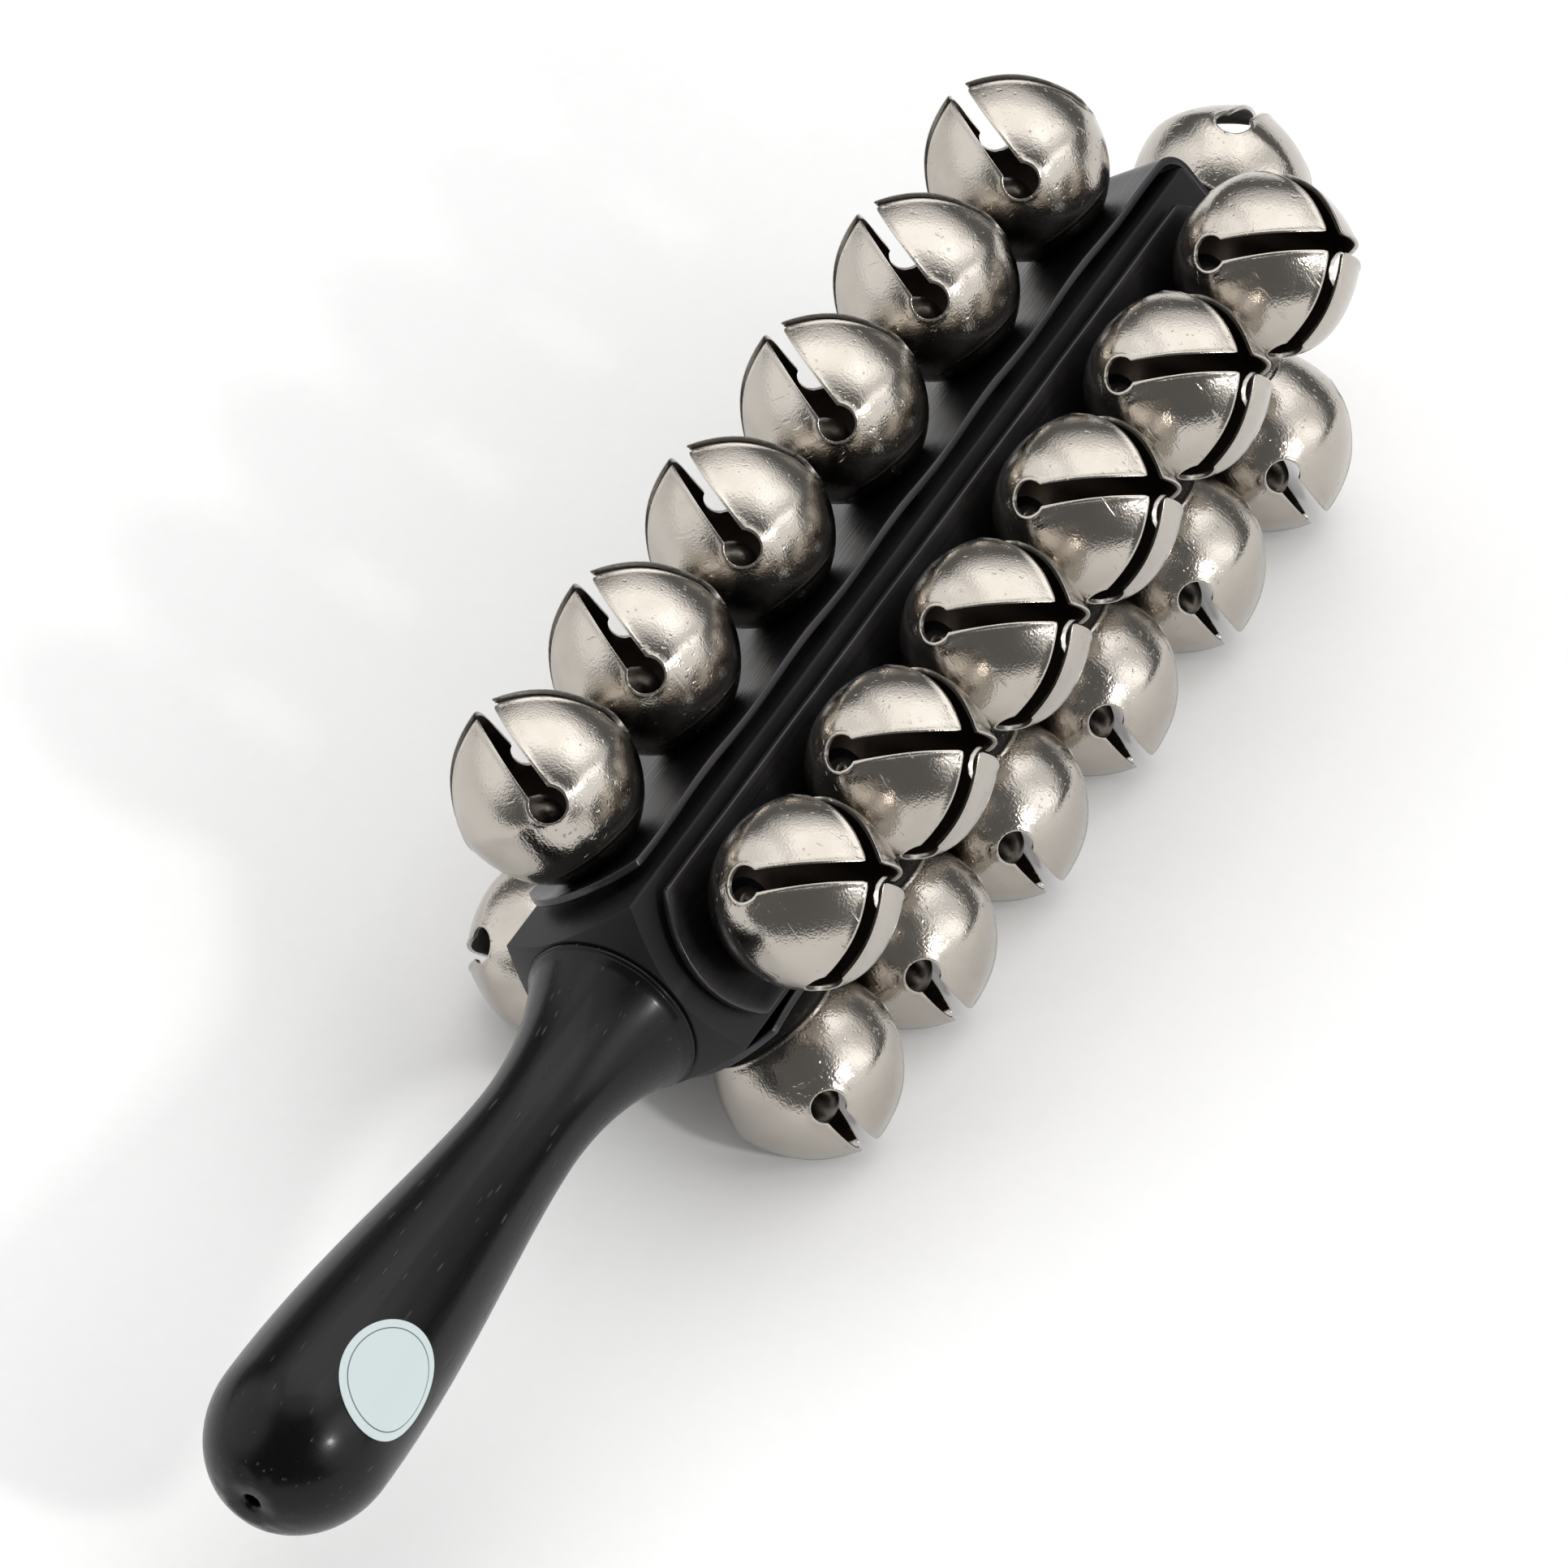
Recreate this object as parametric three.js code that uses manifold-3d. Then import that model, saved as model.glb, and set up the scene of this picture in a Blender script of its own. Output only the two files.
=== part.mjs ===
// Sleigh bells on a stick: a turned handle, a square head, metal mounting strips, and bells screwed on in four rows
// with one more on the far end. Each bell holds a loose pellet.
// Run with three and manifold-3d installed. Millimetres, +Z up, +X from the handle to the far end.
import * as THREE from "three";
import { mergeVertices } from "three/addons/utils/BufferGeometryUtils.js";
import Module from "manifold-3d";

const wasm = await Module();
wasm.setup();

// ---- Driving sizes -------------------------------------------------------------------------------------------------
// Layout of the bells
const BELLS_PER_ROW = 6;
const BELL_PITCH = 28.6; // along the head, just over one bell diameter
const FIRST_BELL = 13; // from the head's near corners to the first bell of row 1
const ROW_SHIFT = [0, 1, 5, 6.5]; // how far each row is moved along the head, so that opposite screws miss each other
const END_BELL_TURN = 45; // degrees about its own axis, so that one of its slots points straight up

// Bell
const BELL_DIAMETER = 28;
const BELL_WALL = 0.7; // sheet thickness
const DOME_DEPTH = 15; // from the widest circle down to the seat
const PETAL_HEIGHT = 13.4; // from the widest circle up to the cut petal tips
const PETAL_CURVE = 1.5; // 2 rounds a petal like an ellipse, and nearer 1 is closer to a straight cone
const PETAL_TIP_RADIUS = 1.9; // the tips stop short of the axis
const SEAT_RADIUS = 3.6; // flat under the dome that sits on the strip
const SLOT_WIDTH = 2.8;
const KEYHOLE_DIAMETER = 5.3; // round end of each slot
const KEYHOLE_ABOVE_EQUATOR = 0.8;

// Pellet
const PELLET_DIAMETER = 8;

// Screw
const SCREW_DIAMETER = 3.5;
const SCREW_HEAD_DIAMETER = 7;
const SCREW_HEAD_HEIGHT = 2;
const SCREW_DEPTH = 11; // below the bell's seat

// Head block
const BLOCK_WIDTH = 27.6;
const BLOCK_LENGTH = 170; // from the near corners to the far end
const BLOCK_CONE = 3.7; // how far the turned near end reaches past the near corners
const TENON_DIAMETER = 12;
const TENON_STOP = 2; // wood left between the end of the tenon and the first screw

// Strips
const STRIP_THICKNESS = 1.2;
const STRIP_WIDTH = 24;
const STRIP_END_BULGE = 5.5; // height of the arc at a strip's end
const STRIP_BEND_RADIUS = 3.4; // outer radius where the long strip turns over the far end
const U_STRIP_START = 2.1; // from the near corners to the crown of the arc
const SIDE_STRIP_START = -0.3;
const SIDE_STRIP_END_INSET = 2.6; // from the far end of the block

// Handle
const HANDLE_LENGTH = 102;
const FLARE_DIAMETER = 27;
const NECK_DIAMETER = 16.3;
const BULB_DIAMETER = 26.9;
const NECK_AT = 0.235; // share of the handle's length, from the head
const BULB_AT = 0.855;
const BUTT_FLAT_DIAMETER = 8;
const CENTRE_HOLE_DIAMETER = 2;
const CENTRE_HOLE_DEPTH = 6;

// Label
const LABEL_LENGTH = 19;
const LABEL_WIDTH = 15.5;
const LABEL_AT = 80; // from the head to the label's centre
const LABEL_THICKNESS = 0.25;
const LABEL_GAP = 0.05; // under the label

// Fits
const SEAT_GAP = 0.3; // between faces that touch on the real object
const HOLE_CLEARANCE = 0.35; // round each screw and the tenon
const REST_GAP = 0.35; // between a pellet at rest and its bell

// ---- Colours and finishes ------------------------------------------------------------------------------------------
const nickel = new THREE.MeshStandardMaterial({ color: 0xb8afa6, metalness: 1, roughness: 0.22 });
const pelletSteel = new THREE.MeshStandardMaterial({ color: 0x6e675f, metalness: 1, roughness: 0.35 });
const blackMetal = new THREE.MeshStandardMaterial({ color: 0x17171a, metalness: 0.9, roughness: 0.4 });
const blackBlock = new THREE.MeshStandardMaterial({ color: 0x1b1b1d, metalness: 0, roughness: 0.7 });
const blackHandle = new THREE.MeshStandardMaterial({ color: 0x161617, metalness: 0, roughness: 0.35 });
const labelFilm = new THREE.MeshStandardMaterial({ color: 0xccd8d8, metalness: 0, roughness: 0.5 });

// ---- Solid helpers -------------------------------------------------------------------------------------------------
const X = new THREE.Vector3(1, 0, 0);
const Y = new THREE.Vector3(0, 1, 0);

// A closed three.js geometry as a manifold-3d solid.
function solid(geometry) {
  const bare = new THREE.BufferGeometry().setAttribute("position", geometry.getAttribute("position").clone());
  if (geometry.index) bare.setIndex(geometry.index.clone());
  const merged = mergeVertices(bare, 1e-4);
  return new wasm.Manifold(
    new wasm.Mesh({
      numProp: 3,
      vertProperties: new Float32Array(merged.attributes.position.array),
      triVerts: new Uint32Array(merged.index.array),
    }),
  );
}

function geometryOf(manifold) {
  const mesh = manifold.getMesh();
  const positions = new Float32Array(mesh.numVert * 3);
  for (let i = 0; i < mesh.numVert; i++)
    positions.set(mesh.vertProperties.subarray(i * mesh.numProp, i * mesh.numProp + 3), i * 3);
  return new THREE.BufferGeometry()
    .setAttribute("position", new THREE.BufferAttribute(positions, 3))
    .setIndex(new THREE.BufferAttribute(new Uint32Array(mesh.triVerts), 1));
}

function node(name, geometry, material) {
  const flat = geometry.index ? geometry.toNonIndexed() : geometry;
  flat.computeVertexNormals();
  const mesh = new THREE.Mesh(flat, material);
  mesh.name = name;
  return mesh;
}

// A solid turned about +Y from [radius, height] points that start and end on the axis, lowest first.
const turned = (points, segments) =>
  new THREE.LatheGeometry(points.map(([r, y]) => new THREE.Vector2(r, y)), segments);

// A cylinder about `axis` from `from`, `length` long.
function rod(radius, length, from, axis, segments = 8) {
  return new THREE.CylinderGeometry(radius, radius, length, segments)
    .translate(0, length / 2, 0)
    .applyQuaternion(new THREE.Quaternion().setFromUnitVectors(Y, axis))
    .translate(from.x, from.y, from.z);
}

// ---- Places derived from the sizes ---------------------------------------------------------------------------------
// x = 0 is the head's near corners and the stick's axis is x, until the whole group is moved to its frame at the end.
const blockHalf = BLOCK_WIDTH / 2;
const stripTop = SEAT_GAP + STRIP_THICKNESS; // above a face of the block
const bellCentreOut = blockHalf + stripTop + SEAT_GAP + DOME_DEPTH; // from the stick's axis
const endBellX = BLOCK_LENGTH + stripTop + SEAT_GAP + DOME_DEPTH;
const bellRadius = BELL_DIAMETER / 2;
const innerBend = STRIP_BEND_RADIUS - STRIP_THICKNESS;
const handleFace = -BLOCK_CONE - SEAT_GAP; // where the handle's flare meets the head
const tenonLength = FIRST_BELL - handleFace - SCREW_DIAMETER / 2 - 2 * HOLE_CLEARANCE - TENON_STOP;

// The four sides of the head, in order round it: 1 up and left, 2 up and right, 3 down and right, 4 down and left.
const sideAngle = [45, -45, -135, 135].map(THREE.MathUtils.degToRad);
const sides = sideAngle.map((a) => new THREE.Vector3(0, Math.sin(a), Math.cos(a)));

const stations = [];
sides.forEach((out, side) => {
  for (let i = 0; i < BELLS_PER_ROW; i++)
    stations.push({
      name: `row${side + 1}_${i + 1}`,
      out,
      centre: out.clone().multiplyScalar(bellCentreOut).setX(FIRST_BELL + ROW_SHIFT[side] + i * BELL_PITCH),
    });
});
stations.push({ name: "end", out: X.clone(), turn: END_BELL_TURN, centre: X.clone().multiplyScalar(endBellX) });

// Turns what stands on the top of the stick onto one of its sides.
const onSide = (geometry, side) => geometry.rotateX(-sideAngle[side]);

// A shape drawn in (along the stick, up), made `width` wide across the stick.
const acrossStick = (shape, width) =>
  new THREE.ExtrudeGeometry(shape, { depth: width, bevelEnabled: false, curveSegments: 4 })
    .translate(0, 0, -width / 2)
    .rotateX(Math.PI / 2);

// ---- Bell and pellet -----------------------------------------------------------------------------------------------
const BELL_SEGMENTS = 12; // flats round a bell
const OUTLINE_STEPS = 2; // straight steps along the dome, and along a petal

// Outline of the shell in its own frame: the widest circle at y = 0, the pole up, offset inwards by `inset`.
// The dome is a quarter ellipse, and each petal a quarter superellipse, so it is straighter towards its tip.
function shellOutline(inset, steps) {
  const r = bellRadius - inset;
  const points = [];
  const seatAngle = Math.asin(SEAT_RADIUS / bellRadius);
  for (let i = 0; i <= steps; i++) {
    const a = THREE.MathUtils.lerp(seatAngle, Math.PI / 2, i / steps);
    points.push([r * Math.sin(a), -((DOME_DEPTH - inset) * Math.cos(a)) / Math.cos(seatAngle)]);
  }
  const tip = (PETAL_TIP_RADIUS / bellRadius) ** PETAL_CURVE;
  const rise = PETAL_HEIGHT / (1 - tip) ** (1 / PETAL_CURVE) - inset;
  for (let i = 1; i <= steps; i++) {
    const share = THREE.MathUtils.lerp(1, tip, Math.sin((i / steps) * (Math.PI / 2)));
    points.push([r * share ** (1 / PETAL_CURVE), rise * (1 - share) ** (1 / PETAL_CURVE)]);
  }
  return points;
}

function bellSolid() {
  const outer = shellOutline(0, OUTLINE_STEPS);
  const inner = shellOutline(BELL_WALL, OUTLINE_STEPS).reverse();
  const floor = -DOME_DEPTH + BELL_WALL;
  const shank = SCREW_DIAMETER / 2;
  const shell = solid(
    turned(
      [
        [0, -DOME_DEPTH - SCREW_DEPTH],
        [shank, -DOME_DEPTH - SCREW_DEPTH],
        [shank, -DOME_DEPTH],
        ...outer,
        ...inner,
        [SCREW_HEAD_DIAMETER / 2, floor],
        [SCREW_HEAD_DIAMETER / 2, floor + SCREW_HEAD_HEIGHT],
        [0, floor + SCREW_HEAD_HEIGHT],
      ],
      BELL_SEGMENTS,
    ),
  );
  // Two crossing slots, each ending in a round hole on both sides.
  let cut = null;
  for (const turn of [Math.PI / 4, -Math.PI / 4]) {
    const reach = 2 * bellRadius + 4;
    const slot = new THREE.BoxGeometry(reach, PETAL_HEIGHT + 4, SLOT_WIDTH)
      .translate(0, KEYHOLE_ABOVE_EQUATOR + (PETAL_HEIGHT + 4) / 2, 0)
      .rotateY(turn);
    const hole = new THREE.CylinderGeometry(KEYHOLE_DIAMETER / 2, KEYHOLE_DIAMETER / 2, reach, 6)
      .rotateZ(Math.PI / 2)
      .translate(0, KEYHOLE_ABOVE_EQUATOR, 0)
      .rotateY(turn);
    const both = solid(slot).add(solid(hole));
    cut = cut ? cut.add(both) : both;
  }
  return shell.subtract(cut);
}

const bellGeometry = geometryOf(bellSolid());
const pelletGeometry = new THREE.IcosahedronGeometry(PELLET_DIAMETER / 2, 1);

// How far a pellet's centre can drop from the middle of a bell that faces `out` before it rests on the shell inside.
function pelletDrop(out) {
  const facet = Math.cos(Math.PI / BELL_SEGMENTS); // the flats between the shell's corners are this much nearer
  const wall = shellOutline(BELL_WALL, OUTLINE_STEPS).map(([r, y]) => new THREE.Vector3(r * facet, y, 0));
  const down = new THREE.Vector3(Math.sqrt(1 - out.z * out.z), -out.z, 0);
  const nearest = new THREE.Vector3();
  const clear = (centre) =>
    wall.slice(1).every((end, i) => {
      new THREE.Line3(wall[i], end).closestPointToPoint(centre, true, nearest);
      return nearest.distanceTo(centre) >= PELLET_DIAMETER / 2 + REST_GAP;
    });
  let drop = 0;
  while (drop < bellRadius && clear(down.clone().multiplyScalar(drop + 0.05))) drop += 0.05;
  return drop;
}

// ---- Holes for the screws ------------------------------------------------------------------------------------------
function screwHole({ centre, out }) {
  const length = SCREW_DEPTH + HOLE_CLEARANCE + 2;
  const from = centre.clone().addScaledVector(out, -DOME_DEPTH - SCREW_DEPTH - HOLE_CLEARANCE);
  return solid(rod(SCREW_DIAMETER / 2 + HOLE_CLEARANCE, length, from, out));
}

const drill = (body, list) => list.reduce((left, station) => left.subtract(screwHole(station)), body);

// ---- Head block ----------------------------------------------------------------------------------------------------
// Its far edges under the long strip are rounded to sit inside the bend.
function blockSolid() {
  const round = innerBend - SEAT_GAP;
  const side = new THREE.Shape();
  side.moveTo(-BLOCK_CONE, -blockHalf);
  side.lineTo(BLOCK_LENGTH - round, -blockHalf);
  side.absarc(BLOCK_LENGTH - round, round - blockHalf, round, -Math.PI / 2, 0, false);
  side.absarc(BLOCK_LENGTH - round, blockHalf - round, round, 0, Math.PI / 2, false);
  side.lineTo(-BLOCK_CONE, blockHalf);
  side.closePath();
  const stock = onSide(acrossStick(side, BLOCK_WIDTH), 0);
  // Turning the near end takes the corners back along a cone and leaves the flats bulging towards the handle.
  const corner = blockHalf * Math.SQRT2;
  const spread = (corner - blockHalf) / BLOCK_CONE;
  const beyond = corner + 4;
  const envelope = turned(
    [
      [0, -BLOCK_CONE - 1],
      [blockHalf - spread, -BLOCK_CONE - 1],
      [beyond, (beyond - corner) / spread],
      [beyond, BLOCK_LENGTH + 1],
      [0, BLOCK_LENGTH + 1],
    ],
    48,
  ).rotateZ(-Math.PI / 2);
  const tenonRoom = rod(
    TENON_DIAMETER / 2 + HOLE_CLEARANCE,
    tenonLength + HOLE_CLEARANCE + 2,
    X.clone().multiplyScalar(handleFace - 2),
    X,
    24,
  );
  return drill(solid(stock).intersect(solid(envelope)).subtract(solid(tenonRoom)), stations);
}

// ---- Strips --------------------------------------------------------------------------------------------------------
// Flat shape of a strip's end in (along, across): an arc that bulges by STRIP_END_BULGE, from -half to +half.
function endArc(crownX, direction, steps = 8) {
  const half = STRIP_WIDTH / 2;
  const radius = (half * half + STRIP_END_BULGE * STRIP_END_BULGE) / (2 * STRIP_END_BULGE);
  const halfAngle = Math.asin(half / radius);
  const points = [];
  for (let i = 0; i <= steps; i++) {
    const a = THREE.MathUtils.lerp(-halfAngle, halfAngle, i / steps);
    points.push([crownX + direction * radius * (1 - Math.cos(a)), radius * Math.sin(a)]);
  }
  return points;
}

// A strip's flat shape from `start` to `end`, `height` thick, ready to stand on side `side`.
function flatBlank(start, end, height, roundFarEnd) {
  const half = STRIP_WIDTH / 2;
  const near = endArc(start, 1);
  const far = roundFarEnd ? endArc(end, -1).reverse() : [[end, half], [end, -half]];
  const shape = new THREE.Shape([...near, ...far].reverse().map(([x, y]) => new THREE.Vector2(x, y)));
  return new THREE.ExtrudeGeometry(shape, { depth: height, bevelEnabled: false });
}

function sideStripSolid(side) {
  const blank = flatBlank(SIDE_STRIP_START, BLOCK_LENGTH - SIDE_STRIP_END_INSET, STRIP_THICKNESS, true).translate(0, 0, blockHalf + SEAT_GAP);
  return drill(solid(onSide(blank, side)), stations.filter((s) => s.out === sides[side]));
}

// The long strip: a U profile swept across its width, its two legs cut to the rounded ends.
function uStripSolid() {
  const inside = blockHalf + SEAT_GAP;
  const outside = inside + STRIP_THICKNESS;
  const far = BLOCK_LENGTH + SEAT_GAP;
  const profile = new THREE.Shape();
  profile.moveTo(U_STRIP_START, outside);
  profile.lineTo(far + STRIP_THICKNESS - STRIP_BEND_RADIUS, outside);
  profile.absarc(far + STRIP_THICKNESS - STRIP_BEND_RADIUS, outside - STRIP_BEND_RADIUS, STRIP_BEND_RADIUS, Math.PI / 2, 0, true);
  profile.absarc(far + STRIP_THICKNESS - STRIP_BEND_RADIUS, STRIP_BEND_RADIUS - outside, STRIP_BEND_RADIUS, 0, -Math.PI / 2, true);
  profile.lineTo(U_STRIP_START, -outside);
  profile.lineTo(U_STRIP_START, -inside);
  profile.absarc(far - innerBend, innerBend - inside, innerBend, -Math.PI / 2, 0, false);
  profile.absarc(far - innerBend, inside - innerBend, innerBend, 0, Math.PI / 2, false);
  profile.lineTo(U_STRIP_START, inside);
  profile.closePath();
  const swept = acrossStick(profile, STRIP_WIDTH);
  const blank = flatBlank(U_STRIP_START, far + STRIP_BEND_RADIUS + 5, 2 * outside + 4, false).translate(0, 0, -outside - 2);
  const shaped = solid(swept).intersect(solid(blank));
  const stood = solid(onSide(geometryOf(shaped), 0));
  const carried = stations.filter((s) => s.out === sides[0] || s.out === sides[2] || s.name === "end");
  return drill(stood, carried);
}

// ---- Handle --------------------------------------------------------------------------------------------------------
// Outline as [radius, distance from the head], a smooth curve through the flare, the neck and the bulb, then a
// rounded butt that ends in a small flat.
function handleOutline() {
  const [flare, neck, bulb] = [FLARE_DIAMETER, NECK_DIAMETER, BULB_DIAMETER].map((d) => d / 2);
  const neckX = NECK_AT * HANDLE_LENGTH;
  const bulbX = BULB_AT * HANDLE_LENGTH;
  const points = [];
  const flareSteps = 6;
  for (let i = 0; i < flareSteps; i++) {
    const t = i / flareSteps;
    points.push([neck + (flare - neck) * (1 - t) ** 2.2, neckX * t]);
  }
  const swellSteps = 7;
  for (let i = 0; i < swellSteps; i++) {
    const t = i / swellSteps;
    points.push([neck + (bulb - neck) * Math.sin((Math.PI / 2) * t) ** 1.5, THREE.MathUtils.lerp(neckX, bulbX, t)]);
  }
  const buttSteps = 5;
  const flatAngle = Math.acos(BUTT_FLAT_DIAMETER / BULB_DIAMETER);
  for (let i = 0; i <= buttSteps; i++) {
    const a = (flatAngle * i) / buttSteps;
    points.push([bulb * Math.cos(a), bulbX + ((HANDLE_LENGTH - bulbX) * Math.sin(a)) / Math.sin(flatAngle)]);
  }
  return points;
}

const HANDLE_SEGMENTS = 24;

// Lays a solid turned about +Y along the stick, from the head towards the butt.
const alongHandle = (geometry) => geometry.rotateZ(Math.PI / 2).translate(handleFace, 0, 0);

function handleSolid() {
  const outline = handleOutline();
  const tenon = TENON_DIAMETER / 2;
  const profile = [[0, -tenonLength], [tenon, -tenonLength], [tenon, 0], ...outline, [0, HANDLE_LENGTH]];
  const body = alongHandle(turned(profile, HANDLE_SEGMENTS));
  const butt = X.clone().multiplyScalar(handleFace - HANDLE_LENGTH - 1);
  const hole = rod(CENTRE_HOLE_DIAMETER / 2, CENTRE_HOLE_DEPTH + 1, butt, X, 12);
  return solid(body).subtract(solid(hole));
}

// A thin oval that follows the handle's surface on side 2.
function labelSolid() {
  const shellOf = (extra) => {
    const line = handleOutline().map(([r, x]) => [r + extra, x]);
    return solid(alongHandle(turned([[0, line[0][1]], ...line, [0, HANDLE_LENGTH]], HANDLE_SEGMENTS)));
  };
  const film = shellOf(LABEL_GAP + LABEL_THICKNESS).subtract(shellOf(LABEL_GAP));
  const oval = new THREE.CylinderGeometry(1, 1, BULB_DIAMETER, 32)
    .scale(LABEL_LENGTH / 2, 1, LABEL_WIDTH / 2)
    .rotateX(Math.PI / 2)
    .translate(handleFace - LABEL_AT, 0, BULB_DIAMETER / 2 + 2);
  return film.intersect(solid(onSide(oval, 1)));
}

// ---- Assembly ------------------------------------------------------------------------------------------------------
const group = new THREE.Group();
group.name = "sleigh_bells";
group.add(node("handle", geometryOf(handleSolid()), blackHandle));
group.add(node("label", geometryOf(labelSolid()), labelFilm));
group.add(node("head_block", geometryOf(blockSolid()), blackBlock));
group.add(node("u_strip", geometryOf(uStripSolid()), blackMetal));
group.add(node("side_strip_2", geometryOf(sideStripSolid(1)), blackMetal));
group.add(node("side_strip_4", geometryOf(sideStripSolid(3)), blackMetal));

for (const { name, out, turn = 0, centre } of stations) {
  const bell = node(`bell_${name}`, bellGeometry, nickel);
  bell.quaternion.setFromUnitVectors(Y, out);
  bell.rotateY(THREE.MathUtils.degToRad(turn));
  bell.position.copy(centre);
  group.add(bell);
  const pellet = node(`pellet_${name}`, pelletGeometry, pelletSteel);
  pellet.position.copy(centre).setZ(centre.z - pelletDrop(out));
  group.add(pellet);
}

const box = new THREE.Box3().setFromObject(group, true);
group.position.set(-(box.min.x + box.max.x) / 2, -(box.min.y + box.max.y) / 2, -box.min.z);

export default group;
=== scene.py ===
"""Sleigh bells on a stick: the finished pieces, materials, light and camera around the fixed frame.

Each piece or group of like pieces has its own operator, and the sizes and colours that a user would change
are properties of the scene. Lengths are in metres, +Z is up and +X runs from the handle to the far end.
"""

import math

import bpy
from bpy.props import FloatProperty, FloatVectorProperty, PointerProperty
from bpy.types import Operator, Panel, PropertyGroup
from mathutils import Matrix, Vector, noise


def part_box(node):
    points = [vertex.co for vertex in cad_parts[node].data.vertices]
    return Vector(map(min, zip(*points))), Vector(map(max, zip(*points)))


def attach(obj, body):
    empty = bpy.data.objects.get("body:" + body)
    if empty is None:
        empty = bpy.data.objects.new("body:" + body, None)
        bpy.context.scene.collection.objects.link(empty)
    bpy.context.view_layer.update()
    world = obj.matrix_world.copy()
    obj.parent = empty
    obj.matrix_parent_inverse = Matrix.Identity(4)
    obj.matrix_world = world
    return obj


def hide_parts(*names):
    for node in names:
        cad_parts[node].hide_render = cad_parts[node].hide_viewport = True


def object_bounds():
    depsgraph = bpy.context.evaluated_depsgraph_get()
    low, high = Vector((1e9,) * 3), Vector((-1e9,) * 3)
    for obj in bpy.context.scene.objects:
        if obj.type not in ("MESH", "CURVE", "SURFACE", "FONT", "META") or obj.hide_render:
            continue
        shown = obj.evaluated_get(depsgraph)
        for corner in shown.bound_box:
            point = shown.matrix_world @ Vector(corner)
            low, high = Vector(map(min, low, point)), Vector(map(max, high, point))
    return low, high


bl_info = {
    "name": "Sleigh Bells",
    "version": (1, 0, 0),
    "blender": (4, 5, 0),
    "location": "View3D > Sidebar > Sleigh Bells",
    "description": "Builds a stick of sleigh bells piece by piece",
    "category": "Object",
}

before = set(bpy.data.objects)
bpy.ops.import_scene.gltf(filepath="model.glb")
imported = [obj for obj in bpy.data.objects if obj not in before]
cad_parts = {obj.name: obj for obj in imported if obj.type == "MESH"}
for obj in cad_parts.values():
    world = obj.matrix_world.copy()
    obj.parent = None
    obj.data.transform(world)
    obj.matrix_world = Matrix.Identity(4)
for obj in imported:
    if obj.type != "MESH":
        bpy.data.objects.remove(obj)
cad_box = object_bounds()

MM = 0.001

# ---- Places read from the frame ----

ALONG = Vector((1, 0, 0))
DIAGONAL = math.sqrt(0.5)
SIDES = [
    Vector((0, DIAGONAL, DIAGONAL)),
    Vector((0, -DIAGONAL, DIAGONAL)),
    Vector((0, -DIAGONAL, -DIAGONAL)),
    Vector((0, DIAGONAL, -DIAGONAL)),
]


def middle(node):
    """The middle of a node's box."""
    low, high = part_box(node)
    return (low + high) / 2


def size(node):
    """The lengths of a node's box."""
    low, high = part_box(node)
    return high - low


def reach(node, direction, start=Vector()):
    """How far a node reaches from start in a direction."""
    return max(direction.dot(v.co - start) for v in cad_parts[node].data.vertices)


STICK = Vector((0, 0, middle("head_block").z))  # a point on the stick's axis


def stations():
    """Name, outward direction and foot on the stick's axis of each bell, in order."""
    names = sorted(n[len("bell_") :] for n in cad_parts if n.startswith("bell_"))
    found = []
    for name in names:
        if name == "end":
            found.append((name, ALONG, STICK.copy()))
        else:
            out = SIDES[int(name[3]) - 1]
            found.append((name, out, STICK + ALONG * middle("bell_" + name).x))
    return found


def upright(out):
    """Turns a piece's own Z to face out, and its own X along the stick, or towards side 1 on an end piece."""
    x = ALONG if abs(out.x) < 0.5 else SIDES[0]
    y = out.cross(x)
    return Matrix((x, y, out)).transposed().to_4x4()


def placed(out, at):
    return Matrix.Translation(at) @ upright(out)


# ---- Colours and shader nodes ----


def linear(hex_colour):
    """An sRGB hex colour as linear red, green and blue."""
    channels = [int(hex_colour[i : i + 2], 16) / 255 for i in (1, 3, 5)]
    return tuple(c / 12.92 if c <= 0.04045 else ((c + 0.055) / 1.055) ** 2.4 for c in channels)


def grains(millimetres):
    """The texture scale that gives features of about this size on a piece measured in metres."""
    return 1 / (millimetres * MM)


def add(material, kind, sockets=(), **settings):
    """Adds a shader node with its settings. An input takes a value, or a link from a socket or node."""
    node = material.node_tree.nodes.new("ShaderNode" + kind)
    for name, value in settings.items():
        setattr(node, name, value)
    for name, value in dict(sockets).items():
        if isinstance(value, bpy.types.Node):
            value = next(output for output in value.outputs if output.enabled)
        if isinstance(value, bpy.types.NodeSocket):
            material.node_tree.links.new(value, node.inputs[name])
        else:
            node.inputs[name].default_value = value
    return node


def new_material(name):
    """A material with no nodes yet."""
    material = bpy.data.materials.new(name)
    material.use_nodes = True
    material.node_tree.nodes.clear()
    return material


def finished(material, tint, sockets, haze=None):
    """The material with its surface.

    The tint is a share, with the colours where it is 0 and 1. The haze is a noise, with the roughness where
    it is low and high.
    """
    share, clean, worn = tint
    sockets["Base Color"] = add(material, "Mix", {"Factor": share, "A": clean, "B": worn}, data_type="RGBA")
    if haze:
        patches, low, high = haze
        spread = {"From Min": 0.3, "From Max": 0.7, "To Min": low, "To Max": high}
        sockets["Roughness"] = add(material, "MapRange", {"Value": patches, **spread})
    surface = add(material, "BsdfPrincipled", sockets)
    add(material, "OutputMaterial", {"Surface": surface})
    return material


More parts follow.
